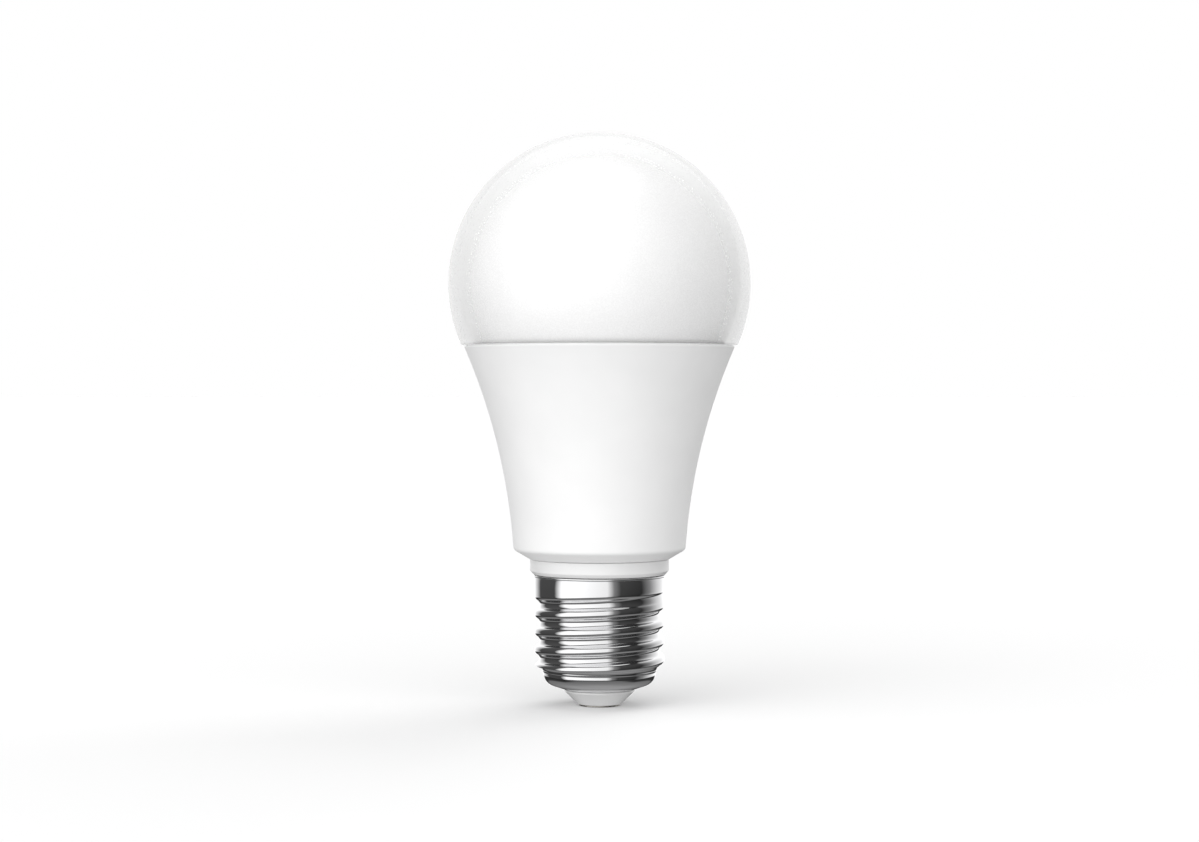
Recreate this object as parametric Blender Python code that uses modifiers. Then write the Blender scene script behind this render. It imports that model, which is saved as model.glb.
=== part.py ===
"""A smart LED bulb of the A60 shape with an E27 screw cap, as separate pieces.

Lengths are in metres. +Z runs up the bulb's axis, from the tip contact to the dome, and
the origin is the centre of the contact's underside. The heights stack up from there, so
a size that changes moves everything that stands on it.
"""

import math

import bmesh
import bpy
from mathutils import Vector

MM = 0.001

# ---- Driving dimensions -------------------------------------------------------------

FIT_GAP = 0.3 * MM  # clear space between pieces that rest on or pass through each other

# Tip contact, the disc that the lampholder's spring presses on
CONTACT_RADIUS = 4.2 * MM
CONTACT_THICKNESS = 0.4 * MM
CONTACT_STEM_RADIUS = 1.2 * MM
CONTACT_STEM_STAND = 0.6 * MM  # how far the stem stands out of the insulator

# Insulator between the contact and the threaded shell
INSULATOR_TIP_RADIUS = 4.7 * MM
INSULATOR_TOP_RADIUS = 7.0 * MM
INSULATOR_CONE_HEIGHT = 2.3 * MM
INSULATOR_FLANGE_RADIUS = 8.0 * MM
INSULATOR_FLANGE_THICKNESS = 1.2 * MM

# Threaded shell, E27: 26.3 mm over the crests, 7 threads to the inch
THREAD_RADIUS = 13.15 * MM
THREAD_DEPTH = 1.05 * MM
THREAD_PITCH = 25.4 / 7 * MM
CAP_WALL = 0.4 * MM
CAP_HEIGHT = 23.1 * MM
CAP_CUP_STEP = 0.7 * MM  # the cup's side inside the thread's root
CAP_CUP_HEIGHT = 3.4 * MM
CAP_CUP_ROUND = 2.0 * MM
CAP_PLAIN_BAND = 3.3 * MM  # above the last groove, counted at its run-out
CAP_CREST_RISE = 6.3 * MM  # lowest full crest on the +X side, above the shell's bottom

# Neck collar: a flange between cap and housing, with a spigot into each
COLLAR_OVERHANG = 0.85 * MM  # past the thread's crests
COLLAR_HEIGHT = 2.65 * MM
COLLAR_TAPER = 0.6 * MM
COLLAR_SPIGOT_WALL = 1.5 * MM
COLLAR_SPIGOT_LENGTH = 17.5 * MM
COLLAR_NECK_WALL = 2.6 * MM
COLLAR_SNAP_REACH = 0.6 * MM
COLLAR_SNAP_HEIGHT = 1.5 * MM
COLLAR_SNAP_SPACE = 1.0 * MM  # least, between the snap's lip and the heat sink's side
COLLAR_SLOT_WIDTH = 1.6 * MM
COLLAR_SLOT_DEPTH = 2.6 * MM

# Housing shell: flares along one hollow arc from the base to the rim
HOUSING_HEIGHT = 42.65 * MM
HOUSING_BASE_RADIUS = 17.35 * MM
HOUSING_RIM_RADIUS = 27.4 * MM
HOUSING_FLANK_ARC = 123.0 * MM
HOUSING_WALL = 1.2 * MM
HOUSING_CHAMFER_DEG = 31.0
HOUSING_CORNER_ROUND = 1.0 * MM

# Heat sink cup, liner and the plates on top of them
HEAT_SINK_WALL = 0.9 * MM
LINER_WALL = 0.8 * MM
LINER_HOLE_SPACE = 0.7 * MM  # the hole's edge outside the neck's bore
SPREADER_SEAT_DEPTH = 5.5 * MM  # from the housing's rim down to the spreader's underside
SPREADER_THICKNESS = 1.5 * MM
THERMAL_PAD_THICKNESS = 0.3 * MM
LED_BOARD_THICKNESS = 1.0 * MM
LED_BOARD_EDGE_SPACE = 1.1 * MM

# Diffuser: a sphere outside, and a smaller, higher one inside, so its wall thins upwards
GLOBE_RADIUS = 30.4 * MM
GLOBE_OVERHANG = 0.4 * MM  # past the housing's rim
GLOBE_CROWN_WALL = 1.0 * MM
GLOBE_SIDE_WALL = 2.0 * MM
GLOBE_EDGE_ROUND = 0.5 * MM
SKIRT_SPACE = 0.7 * MM  # between the skirt's foot and the housing's wall
SKIRT_WALL = 1.3 * MM
SKIRT_TRANSITION = 1.9 * MM
ADHESIVE_THICKNESS = 0.4 * MM

# LEDs, 2835 packages, warm and cool white in turn
LED_COUNT = 16
LED_RING_RADIUS = 14.0 * MM
LED_LENGTH = 3.5 * MM
LED_WIDTH = 2.8 * MM
LED_HEIGHT = 0.7 * MM
LED_WALL = 0.45 * MM

# Screws through the LED board
SCREW_COUNT = 3
SCREW_EDGE_DISTANCE = 3.5 * MM  # from the LED board's edge
SCREW_RADIUS = 0.9 * MM
SCREW_LENGTH = 6.0 * MM
SCREW_HEAD_RADIUS = 1.9 * MM
SCREW_HEAD_HEIGHT = 1.2 * MM
SCREW_RECESS_WIDTH = 0.5 * MM

# Driver board, upright and behind the axis, with a tongue down into the neck
DRIVER_BOARD_THICKNESS = 1.2 * MM
DRIVER_BOARD_FRONT_Y = -3.0 * MM
DRIVER_BOARD_TOP_SPACE = 2.8 * MM
DRIVER_BOARD_SIDE_SPACE = 0.6 * MM
DRIVER_TONGUE_RISE = 4.0 * MM  # tongue's lower edge above the collar spigot's

# Radio board, upright and in front of the axis, through the LED board
RADIO_BOARD_WIDTH = 11.0 * MM
RADIO_BOARD_THICKNESS = 0.8 * MM
RADIO_BOARD_BACK_Y = 8.5 * MM
RADIO_BOARD_DROP = 6.0 * MM  # foot of the board below the driver board's top
RADIO_BOARD_STAND = 9.8 * MM  # height above the LED board
RADIO_SLOT_SPACE = 0.6 * MM
ANTENNA_ROWS = 4
ANTENNA_TRACE = 0.6 * MM
ANTENNA_REACH = 3.4 * MM
ANTENNA_RISE = 2.5 * MM  # lowest run above the LED board
ANTENNA_THICKNESS = 0.2 * MM

# Pins that feed the LED board, and their socket
PIN_THICKNESS = 0.64 * MM
PIN_SPACING = 2.54 * MM
SOCKET_HEIGHT = 2.8 * MM

LEAD_RADIUS = 0.6 * MM

# Facets round each kind of turned piece
LARGE_STEPS = 40
THREAD_STEPS = 36
MEDIUM_STEPS = 28
SMALL_STEPS = 16
THREAD_ROWS = 24

# ---- Places that follow from the sizes ----------------------------------------------

INSULATOR_BOTTOM_Z = CONTACT_THICKNESS + FIT_GAP
INSULATOR_CONE_TOP_Z = INSULATOR_BOTTOM_Z + INSULATOR_CONE_HEIGHT

CAP_BOTTOM_Z = INSULATOR_CONE_TOP_Z + FIT_GAP
CAP_TOP_Z = CAP_BOTTOM_Z + CAP_HEIGHT
CAP_MOUTH_RADIUS = INSULATOR_TOP_RADIUS + FIT_GAP / 2
CAP_ROOT_INNER_RADIUS = THREAD_RADIUS - THREAD_DEPTH - CAP_WALL
CAP_CUP_RADIUS = THREAD_RADIUS - THREAD_DEPTH - CAP_CUP_STEP
THREAD_FOOT_Z = CAP_BOTTOM_Z + CAP_CUP_HEIGHT
THREAD_HEAD_Z = CAP_TOP_Z - CAP_PLAIN_BAND

COLLAR_BOTTOM_Z = CAP_TOP_Z + FIT_GAP
COLLAR_TOP_Z = COLLAR_BOTTOM_Z + COLLAR_HEIGHT
COLLAR_RADIUS = THREAD_RADIUS + COLLAR_OVERHANG
COLLAR_SPIGOT_RADIUS = CAP_ROOT_INNER_RADIUS - FIT_GAP
COLLAR_BORE_RADIUS = COLLAR_SPIGOT_RADIUS - COLLAR_SPIGOT_WALL
HEAT_SINK_INSET = HOUSING_WALL + FIT_GAP
LINER_INSET = HEAT_SINK_INSET + HEAT_SINK_WALL + FIT_GAP
SNAP_ROOM_RADIUS = HOUSING_BASE_RADIUS - HEAT_SINK_INSET - HEAT_SINK_WALL - COLLAR_SNAP_SPACE
COLLAR_NECK_RADIUS = min(
    COLLAR_BORE_RADIUS + COLLAR_NECK_WALL, SNAP_ROOM_RADIUS - COLLAR_SNAP_REACH
)
NECK_BORE_RADIUS = COLLAR_NECK_RADIUS - COLLAR_NECK_WALL
COLLAR_SPIGOT_BOTTOM_Z = COLLAR_BOTTOM_Z - COLLAR_SPIGOT_LENGTH
NECK_HOLE_RADIUS = COLLAR_NECK_RADIUS + FIT_GAP
LINER_HOLE_RADIUS = NECK_BORE_RADIUS + LINER_HOLE_SPACE

HOUSING_BOTTOM_Z = COLLAR_TOP_Z + FIT_GAP
RIM_Z = HOUSING_BOTTOM_Z + HOUSING_HEIGHT
CHAMFER_START_RADIUS = COLLAR_RADIUS + FIT_GAP
CHAMFER_SLOPE = math.tan(math.radians(HOUSING_CHAMFER_DEG))
CHAMFER_RISE = (HOUSING_BASE_RADIUS - CHAMFER_START_RADIUS) * CHAMFER_SLOPE
FLANK_BOTTOM_Z = HOUSING_BOTTOM_Z + CHAMFER_RISE

SPREADER_BOTTOM_Z = RIM_Z - SPREADER_SEAT_DEPTH
SPREADER_TOP_Z = SPREADER_BOTTOM_Z + SPREADER_THICKNESS
PAD_BOTTOM_Z = SPREADER_TOP_Z + FIT_GAP
LED_BOARD_BOTTOM_Z = PAD_BOTTOM_Z + THERMAL_PAD_THICKNESS + FIT_GAP
LED_BOARD_TOP_Z = LED_BOARD_BOTTOM_Z + LED_BOARD_THICKNESS

HEAT_SINK_BOTTOM_Z = HOUSING_BOTTOM_Z + HOUSING_WALL + FIT_GAP
HEAT_SINK_TOP_Z = SPREADER_BOTTOM_Z - FIT_GAP
SNAP_BOTTOM_Z = HEAT_SINK_BOTTOM_Z + HEAT_SINK_WALL + FIT_GAP
SNAP_TOP_Z = SNAP_BOTTOM_Z + COLLAR_SNAP_HEIGHT
LINER_BOTTOM_Z = SNAP_TOP_Z + FIT_GAP
LINER_TOP_Z = HEAT_SINK_TOP_Z - FIT_GAP

GLOBE_EDGE_Z = RIM_Z + FIT_GAP
GLOBE_EDGE_RADIUS = HOUSING_RIM_RADIUS + GLOBE_OVERHANG
GLOBE_CENTRE_Z = GLOBE_EDGE_Z + math.sqrt(GLOBE_RADIUS**2 - GLOBE_EDGE_RADIUS**2)
ADHESIVE_BOTTOM_Z = SPREADER_TOP_Z + FIT_GAP
SKIRT_BOTTOM_Z = ADHESIVE_BOTTOM_Z + ADHESIVE_THICKNESS + FIT_GAP


def flank_radius(z):
    """Outer radius of the housing's hollow flank at a height."""
    rise = RIM_Z - FLANK_BOTTOM_Z
    spread = HOUSING_RIM_RADIUS - HOUSING_BASE_RADIUS
    chord = math.hypot(rise, spread)
    stand = math.sqrt(HOUSING_FLANK_ARC**2 - (chord / 2) ** 2)
    centre_r = (HOUSING_BASE_RADIUS + HOUSING_RIM_RADIUS) / 2 + stand * rise / chord
    centre_z = (FLANK_BOTTOM_Z + RIM_Z) / 2 - stand * spread / chord
    return centre_r - math.sqrt(HOUSING_FLANK_ARC**2 - (z - centre_z) ** 2)


def chamfer_radius(z, inset):
    """Radius at a height of the surface parallel inside the housing's chamfer."""
    rise = z - HOUSING_BOTTOM_Z - inset * math.hypot(1.0, CHAMFER_SLOPE)
    return CHAMFER_START_RADIUS + rise / CHAMFER_SLOPE


def kink_height(inset):
    """Height where the surfaces parallel inside the flank and the chamfer meet."""
    z = FLANK_BOTTOM_Z
    for _ in range(12):
        gap = flank_radius(z) - inset - chamfer_radius(z, inset)
        z += gap * CHAMFER_SLOPE
    return z


SKIRT_RADIUS = flank_radius(SKIRT_BOTTOM_Z) - HOUSING_WALL - SKIRT_SPACE
LED_BOARD_RADIUS = SKIRT_RADIUS - SKIRT_WALL - LED_BOARD_EDGE_SPACE
SCREW_RING_RADIUS = LED_BOARD_RADIUS - SCREW_EDGE_DISTANCE

DRIVER_BOARD_BACK_Y = DRIVER_BOARD_FRONT_Y - DRIVER_BOARD_THICKNESS
DRIVER_BOARD_TOP_Z = SPREADER_BOTTOM_Z - DRIVER_BOARD_TOP_SPACE
DRIVER_SHOULDER_Z = LINER_BOTTOM_Z + LINER_WALL + 2 * FIT_GAP
DRIVER_FACE_Y = DRIVER_BOARD_FRONT_Y + FIT_GAP  # back of the parts on the front
DRIVER_REAR_Y = DRIVER_BOARD_BACK_Y - FIT_GAP  # front of the parts on the back

PINS_WIDTH = 2 * PIN_SPACING + PIN_THICKNESS
PINS_Y = DRIVER_FACE_Y + PIN_THICKNESS / 2
PIN_SLOT_DEPTH = PIN_THICKNESS + 2 * FIT_GAP

# ---- Materials ----------------------------------------------------------------------

# name: (linear colour, roughness, metallic)
MATERIALS = {
    "opal_diffuser": ((0.90, 0.90, 0.89), 0.25, 0.0),
    "white_housing": ((0.86, 0.86, 0.85), 0.38, 0.0),
    "white_collar": ((0.84, 0.84, 0.83), 0.35, 0.0),
    "nickel_plate": ((0.66, 0.65, 0.63), 0.12, 1.0),
    "grey_insulator": ((0.62, 0.62, 0.61), 0.32, 0.0),
    "contact_plate": ((0.60, 0.58, 0.55), 0.25, 1.0),
    "aluminium": ((0.72, 0.73, 0.74), 0.42, 1.0),
    "liner_plastic": ((0.80, 0.80, 0.77), 0.50, 0.0),
    "silicone": ((0.78, 0.78, 0.76), 0.55, 0.0),
    "thermal_silicone": ((0.45, 0.52, 0.60), 0.70, 0.0),
    "white_solder_mask": ((0.86, 0.87, 0.86), 0.40, 0.0),
    "green_board": ((0.03, 0.20, 0.08), 0.40, 0.0),
    "warm_phosphor": ((0.90, 0.55, 0.12), 0.40, 0.0),
    "cool_phosphor": ((0.90, 0.78, 0.22), 0.40, 0.0),
    "zinc_steel": ((0.55, 0.56, 0.57), 0.35, 1.0),
    "black_component": ((0.02, 0.02, 0.02), 0.45, 0.0),
    "capacitor_sleeve": ((0.03, 0.04, 0.10), 0.35, 0.0),
    "film_capacitor_case": ((0.65, 0.35, 0.03), 0.40, 0.0),
    "varistor_coat": ((0.03, 0.12, 0.45), 0.45, 0.0),
    "resistor_coat": ((0.30, 0.45, 0.40), 0.45, 0.0),
    "ferrite": ((0.05, 0.05, 0.05), 0.60, 0.0),
    "enamelled_copper": ((0.55, 0.18, 0.05), 0.35, 1.0),
    "winding_tape": ((0.75, 0.55, 0.05), 0.45, 0.0),
    "tinned_steel": ((0.70, 0.70, 0.68), 0.30, 1.0),
    "white_connector": ((0.80, 0.79, 0.74), 0.45, 0.0),
    "red_insulation": ((0.55, 0.03, 0.02), 0.45, 0.0),
    "black_insulation": ((0.02, 0.02, 0.02), 0.45, 0.0),
}


def make_material(name):
    """The named material, made once and then shared."""
    material = bpy.data.materials.get(name)
    if material is None:
        colour, roughness, metallic = MATERIALS[name]
        material = bpy.data.materials.new(name)
        material.use_nodes = True
        shader = material.node_tree.nodes["Principled BSDF"]
        shader.inputs["Base Color"].default_value = (*colour, 1.0)
        shader.inputs["Roughness"].default_value = roughness
        shader.inputs["Metallic"].default_value = metallic
        material.diffuse_color = (*colour, 1.0)
    return material


# ---- Outlines -----------------------------------------------------------------------


def arc(centre, radius, start_deg, end_deg, segments):
    """Points on an arc. Angles turn from +X towards +Z, or +Y in a flat outline."""
    points = []
    for i in range(segments + 1):
        angle = math.radians(start_deg + (end_deg - start_deg) * i / segments)
        x = centre[0] + radius * math.cos(angle)
        z = centre[1] + radius * math.sin(angle)
        points.append((x, z))
    return points


def circle(x, y, radius, segments):
    """A closed circle's points."""
    return arc((x, y), radius, 0, 360, segments)[:-1]


def rectangle(x, y, width, height):
    """A closed rectangle's corners, round its centre."""
    dx = width / 2
    dy = height / 2
    return [(x - dx, y - dy), (x + dx, y - dy), (x + dx, y + dy), (x - dx, y + dy)]


def rounded_corner(before, corner, after, radius, segments=3):
    """Points on the arc that replaces the corner between two straight runs."""
    corner = Vector(corner)
    back = (Vector(before) - corner).normalized()
    ahead = (Vector(after) - corner).normalized()
    half = back.angle(ahead) / 2
    reach = radius / math.tan(half)
    centre = corner + (back + ahead).normalized() * (radius / math.sin(half))
    first = corner + back * reach - centre
    last = corner + ahead * reach - centre
    turn = first.angle(last)
    points = []
    for i in range(segments + 1):
        share = i / segments
        a = math.sin((1 - share) * turn) / math.sin(turn)
        b = math.sin(share * turn) / math.sin(turn)
        points.append(tuple(centre + first * a + last * b))
    return points


def smoothstep(low, high, value):
    """0 below low, 1 above high, and a smooth rise between them."""
    share = min(max((value - low) / (high - low), 0.0), 1.0)
    return share * share * (3 - 2 * share)


def strip_outline(route, width):
    """Closed outline of a strip of one width along a route with right-angled turns."""
    places = [Vector(point) for point in route]
    runs = [(end - start).normalized() for start, end in zip(places, places[1:])]
    sides = [Vector((-run.y, run.x)) for run in runs]
    left = []
    right = []
    for i, place in enumerate(places):
        shift = sides[max(i - 1, 0)].copy()
        if 0 < i < len(runs):
            shift += sides[i]
        left.append(tuple(place + shift * (width / 2)))
        right.append(tuple(place - shift * (width / 2)))
    return right + left[::-1]


# ---- Building blocks ----------------------------------------------------------------


def clear_scene():
    """Removes whatever the file opened with."""
    for old in list(bpy.data.objects):
        bpy.data.objects.remove(old, do_unlink=True)
    for old in list(bpy.data.collections):
        bpy.data.collections.remove(old)


def new_collection(name):
    """A new collection in the scene."""
    collection = bpy.data.collections.new(name)
    bpy.context.scene.collection.children.link(collection)
    return collection


def add_object(name, data, material=None):
    """Links an object to the bulb, or to the cutters if it has no material."""
    piece = bpy.data.objects.new(name, data)
    if material is None:
        piece.hide_render = True
        piece.display_type = "WIRE"
        CUTTERS.objects.link(piece)
    else:
        data.materials.append(make_material(material))
        BULB.objects.link(piece)
    return piece


def profile_mesh(name, points, closed):
    """A mesh of edges in the XZ plane, for the Screw modifier."""
    mesh = bpy.data.meshes.new(name)
    count = len(points)
    edges = [(i, i + 1) for i in range(count - 1)]
    if closed:
        edges.append((count - 1, 0))
    mesh.from_pydata([(x, 0.0, z) for x, z in points], edges, [])
    return mesh


def turned(name, points, steps, material, closed=True):
    """A piece turned round Z from a profile that runs down its outer side.

    A closed profile stays off the axis. An open one starts and ends on it.
    """
    piece = add_object(name, profile_mesh(name, points, closed), material)
    screw = piece.modifiers.new("turn", "SCREW")
    screw.steps = steps
    screw.render_steps = steps
    screw.use_merge_vertices = True
    screw.merge_threshold = 0.00001
    screw.use_smooth_shade = True
    return piece


def flat_piece(name, loops, thickness, material, centre, upright=False):
    """A plate from flat loops: the first is its edge and the others are its holes.

    An upright plate has its loops in the XZ plane and its thickness along Y.
    """
    curve = bpy.data.curves.new(name, "CURVE")
    curve.dimensions = "2D"
    curve.fill_mode = "BOTH"
    curve.extrude = thickness / 2
    for loop in loops:
        spline = curve.splines.new("POLY")
        spline.points.add(len(loop) - 1)
        for point, (x, y) in zip(spline.points, loop):
            point.co = (x, y, 0.0, 1.0)
        spline.use_cyclic_u = True
    piece = add_object(name, curve, material)
    piece.location = centre
    if upright:
        piece.rotation_euler = (math.pi / 2, 0.0, 0.0)
    return piece


def block(name, size, centre, material=None, edge=0.0):
    """A box of the given size, with its edges rounded by a Bevel modifier."""
    mesh = bpy.data.meshes.new(name)
    shape = bmesh.new()
    bmesh.ops.create_cube(shape, size=1.0)
    bmesh.ops.scale(shape, vec=size, verts=shape.verts)
    shape.to_mesh(mesh)
    shape.free()
    piece = add_object(name, mesh, material)
    piece.location = centre
    if edge:
        bevel = piece.modifiers.new("edges", "BEVEL")
        bevel.width = edge
        bevel.segments = 1
    return piece


def front_block(name, size, x, z, material, edge):
    """A box that stands on the driver board's front face."""
    return block(name, size, (x, DRIVER_FACE_Y + size[1] / 2, z), material, edge)


def rear_block(name, size, x, z, material, edge):
    """A box that stands on the driver board's back face."""
    return block(name, size, (x, DRIVER_REAR_Y - size[1] / 2, z), material, edge)


def cut(piece, cutter):
    """Cuts the cutter's shape out of the piece."""
    boolean = piece.modifiers.new(cutter.name, "BOOLEAN")
    boolean.operation = "DIFFERENCE"
    boolean.solver = "EXACT"
    boolean.object = cutter


def smooth_route(points, spans):
    """Points on a smooth curve through the given ones, spans of them between each two."""
    ends = [points[0], *points, points[-1]]
    route = []
    for i in range(1, len(ends) - 2):
        before, start, end, after = (Vector(p) for p in ends[i - 1 : i + 3])
        for j in range(spans):
            t = j / spans
            along = start * 2 + (end - before) * t
            along += (before * 2 - start * 5 + end * 4 - after) * t**2
            along += (start * 3 - before - end * 3 + after) * t**3
            route.append(along / 2)
    route.append(Vector(points[-1]))
    return route


def lead(name, points, material):
    """A round insulated lead through the given points, its ends closed."""
    curve = bpy.data.curves.new(name, "CURVE")
    curve.dimensions = "3D"
    curve.bevel_depth = LEAD_RADIUS
    curve.bevel_resolution = 2
    curve.use_fill_caps = True
    route = smooth_route(points, 4)
    spline = curve.splines.new("POLY")
    spline.points.add(len(route) - 1)
    for point, place in zip(spline.points, route):
        point.co = (*place, 1.0)
    return add_object(name, curve, material)


# ---- Screw cap ----------------------------------------------------------------------


def centre_contact():
    """Contact disc with a stem up through the insulator."""
    top = INSULATOR_BOTTOM_Z + INSULATOR_CONE_HEIGHT + 2 * FIT_GAP + CAP_WALL
    top += FIT_GAP + INSULATOR_FLANGE_THICKNESS + CONTACT_STEM_STAND
    edge = CONTACT_THICKNESS / 2
    points = [(0.0, top), (CONTACT_STEM_RADIUS, top), (CONTACT_STEM_RADIUS, CONTACT_THICKNESS)]
    points += arc((CONTACT_RADIUS - edge, edge), edge, 90, -90, 4)
    points.append((0.0, 0.0))
    turned("centre_contact", points, MEDIUM_STEPS, "contact_plate", closed=False)
    return top


def cap_insulator():
    """Cone from the contact up to the shell, and a flange inside the shell's mouth."""
    bore = CONTACT_STEM_RADIUS + FIT_GAP
    neck = CAP_MOUTH_RADIUS - FIT_GAP
    flange_z = INSULATOR_CONE_TOP_Z + 2 * FIT_GAP + CAP_WALL + FIT_GAP
    top_z = flange_z + INSULATOR_FLANGE_THICKNESS
    tip = (INSULATOR_TIP_RADIUS, INSULATOR_BOTTOM_Z)
    cone_top = (INSULATOR_TOP_RADIUS, INSULATOR_CONE_TOP_Z)
    bore_foot = (bore, INSULATOR_BOTTOM_Z)
    points = [(bore, top_z), (INSULATOR_FLANGE_RADIUS, top_z)]
    points += [(INSULATOR_FLANGE_RADIUS, flange_z), (neck, flange_z)]
    points += [(neck, INSULATOR_CONE_TOP_Z), cone_top]
    points += rounded_corner(cone_top, tip, bore_foot, 0.4 * MM)
    points.append(bore_foot)
    turned("cap_insulator", points, MEDIUM_STEPS, "grey_insulator")


def thread_radius(angle, z):
    """Outer radius of the rolled thread at an angle round the axis and a height.

    Crest and root are arcs of one radius that meet on the flank. The top groove runs out
    into the plain band over half a turn, and the foot blends into the cup.
    """
    half_pitch = THREAD_PITCH / 2
    arc_radius = (half_pitch**2 + THREAD_DEPTH**2) / (4 * THREAD_DEPTH)
    crest_z = CAP_BOTTOM_Z + CAP_CREST_RISE + THREAD_PITCH * angle / (2 * math.pi)
    from_crest = (z - crest_z) % THREAD_PITCH
    groove_z = z - from_crest + half_pitch
    offset = min(from_crest, THREAD_PITCH - from_crest)
    if offset <= half_pitch / 2:
        fall = arc_radius - math.sqrt(arc_radius**2 - offset**2)
    else:
        from_root = half_pitch - offset
        fall = THREAD_DEPTH - arc_radius + math.sqrt(arc_radius**2 - from_root**2)
    run_out = smoothstep(THREAD_HEAD_Z - half_pitch, THREAD_HEAD_Z, groove_z)
    radius = THREAD_RADIUS - fall * (1 - run_out)
    blend = smoothstep(THREAD_FOOT_Z, THREAD_FOOT_Z + THREAD_PITCH / 3, z)
    return CAP_CUP_RADIUS + (radius - CAP_CUP_RADIUS) * blend


def screw_cap_shell():
    """Thin rolled shell: a turned tube whose rings are then pressed into the thread."""
    thread_foot = THREAD_FOOT_Z
    thread_head = THREAD_HEAD_Z + THREAD_PITCH / 4
    mouth = (CAP_MOUTH_RADIUS, CAP_BOTTOM_Z)
    corner = (CAP_CUP_RADIUS - 0.6 * MM, CAP_BOTTOM_Z + 1.5 * MM)
    foot = (CAP_CUP_RADIUS, thread_foot)
    outer = [(THREAD_RADIUS + 0.2 * MM, CAP_TOP_Z), (THREAD_RADIUS, CAP_TOP_Z - 0.4 * MM)]
    for i in range(THREAD_ROWS + 1):
        z = thread_head + (thread_foot - thread_head) * i / THREAD_ROWS
        outer.append((THREAD_RADIUS, z))
    outer[-1] = foot
    outer += rounded_corner(foot, corner, mouth, CAP_CUP_ROUND)
    outer.append(mouth)
    inner = [(x - CAP_WALL, z) for x, z in outer[: THREAD_ROWS + 3]]
    cup = rounded_corner(foot, corner, mouth, CAP_CUP_ROUND - CAP_WALL / 2)
    inner += [(x - CAP_WALL * 0.7, z + CAP_WALL * 0.7) for x, z in cup]
    inner.append((CAP_MOUTH_RADIUS, CAP_BOTTOM_Z + CAP_WALL))
    shell = turned("turned_cap", outer + inner[::-1], THREAD_STEPS, "nickel_plate")

    bpy.context.view_layer.update()
    graph = bpy.context.evaluated_depsgraph_get()
    mesh = bpy.data.meshes.new_from_object(shell.evaluated_get(graph))
    bpy.data.objects.remove(shell)
    for vertex in mesh.vertices:
        x, y, z = vertex.co
        radius = math.hypot(x, y)
        if z < thread_foot - 0.01 * MM or z > thread_head + 0.01 * MM:
            continue
        if radius < CAP_CUP_RADIUS - 1.5 * CAP_WALL:
            continue
        inside = min(abs(radius - THREAD_RADIUS), abs(radius - CAP_CUP_RADIUS)) > CAP_WALL / 2
        target = thread_radius(math.atan2(y, x), z) - (CAP_WALL if inside else 0.0)
        vertex.co = (x * target / radius, y * target / radius, z)
    mesh.name = "screw_cap_shell"
    BULB.objects.link(bpy.data.objects.new("screw_cap_shell", mesh))


def neck_collar():
    """Flange seen between cap and housing, a spigot down into the cap, and a split neck
    that snaps up through the floors of the housing and the heat sink."""
    low = COLLAR_BOTTOM_Z
    taper = (COLLAR_RADIUS, low + COLLAR_TAPER)
    points = [(NECK_BORE_RADIUS, SNAP_TOP_Z)]
    points += [(COLLAR_NECK_RADIUS - 0.4 * MM, SNAP_TOP_Z)]
    points += [(COLLAR_NECK_RADIUS + COLLAR_SNAP_REACH, SNAP_BOTTOM_Z + 0.5 * MM)]
    points += [(COLLAR_NECK_RADIUS + COLLAR_SNAP_REACH, SNAP_BOTTOM_Z)]
    points += [(COLLAR_NECK_RADIUS, SNAP_BOTTOM_Z), (COLLAR_NECK_RADIUS, COLLAR_TOP_Z)]
    points += rounded_corner(points[-1], (COLLAR_RADIUS, COLLAR_TOP_Z), taper, 0.25 * MM, 2)
    points += [taper, (COLLAR_RADIUS - 0.65 * MM, low), (COLLAR_SPIGOT_RADIUS, low)]
    points += [(COLLAR_SPIGOT_RADIUS, COLLAR_SPIGOT_BOTTOM_Z)]
    points += [(COLLAR_BORE_RADIUS, COLLAR_SPIGOT_BOTTOM_Z)]
    points += [(COLLAR_BORE_RADIUS, low), (NECK_BORE_RADIUS, COLLAR_TOP_Z)]
    collar = turned("neck_collar", points, LARGE_STEPS, "white_collar")
    span = 3 * COLLAR_RADIUS
    slot_z = SNAP_TOP_Z - COLLAR_SLOT_DEPTH / 2 + FIT_GAP
    height = COLLAR_SLOT_DEPTH + 2 * FIT_GAP
    for name, size in (
        ("snap_slot_x", (span, COLLAR_SLOT_WIDTH, height)),
        ("snap_slot_y", (COLLAR_SLOT_WIDTH, span, height)),
    ):
        cut(collar, block(name, size, (0.0, 0.0, slot_z)))
    width = 2 * (LEAD_RADIUS + FIT_GAP)
    size = (4 * COLLAR_SPIGOT_WALL, width, 2 * width)
    cut(collar, block("lead_notch", size, (COLLAR_SPIGOT_RADIUS, 0.0, COLLAR_SPIGOT_BOTTOM_Z)))


# ---- Housing and heat path ----------------------------------------------------------


def flank_points(top_z, bottom_z, inset, segments):
    """Points down the flank, moved in by an inset."""
    points = []
    for i in range(segments + 1):
        z = top_z + (bottom_z - top_z) * i / segments
        points.append((flank_radius(z) - inset, z))
    return points


def cup_side(top_z, floor_z, inset, hole_radius, rows):
    """Points down the flank, round its foot and in along a floor to a round hole."""
    kink_z = kink_height(inset)
    points = flank_points(top_z, max(kink_z, floor_z), inset, rows)
    if kink_z > floor_z:
        points.append((chamfer_radius(floor_z, inset), floor_z))
    return points + [(hole_radius, floor_z)]


def cup_profile(top_z, floor_z, inset, wall, hole_radius, rows):
    """Closed profile of a cup with one wall thickness, parallel to the housing."""
    outer = cup_side(top_z, floor_z, inset, hole_radius, rows)
    inner = cup_side(top_z, floor_z + wall, inset + wall, hole_radius, rows)
    return outer + inner[::-1]


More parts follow.
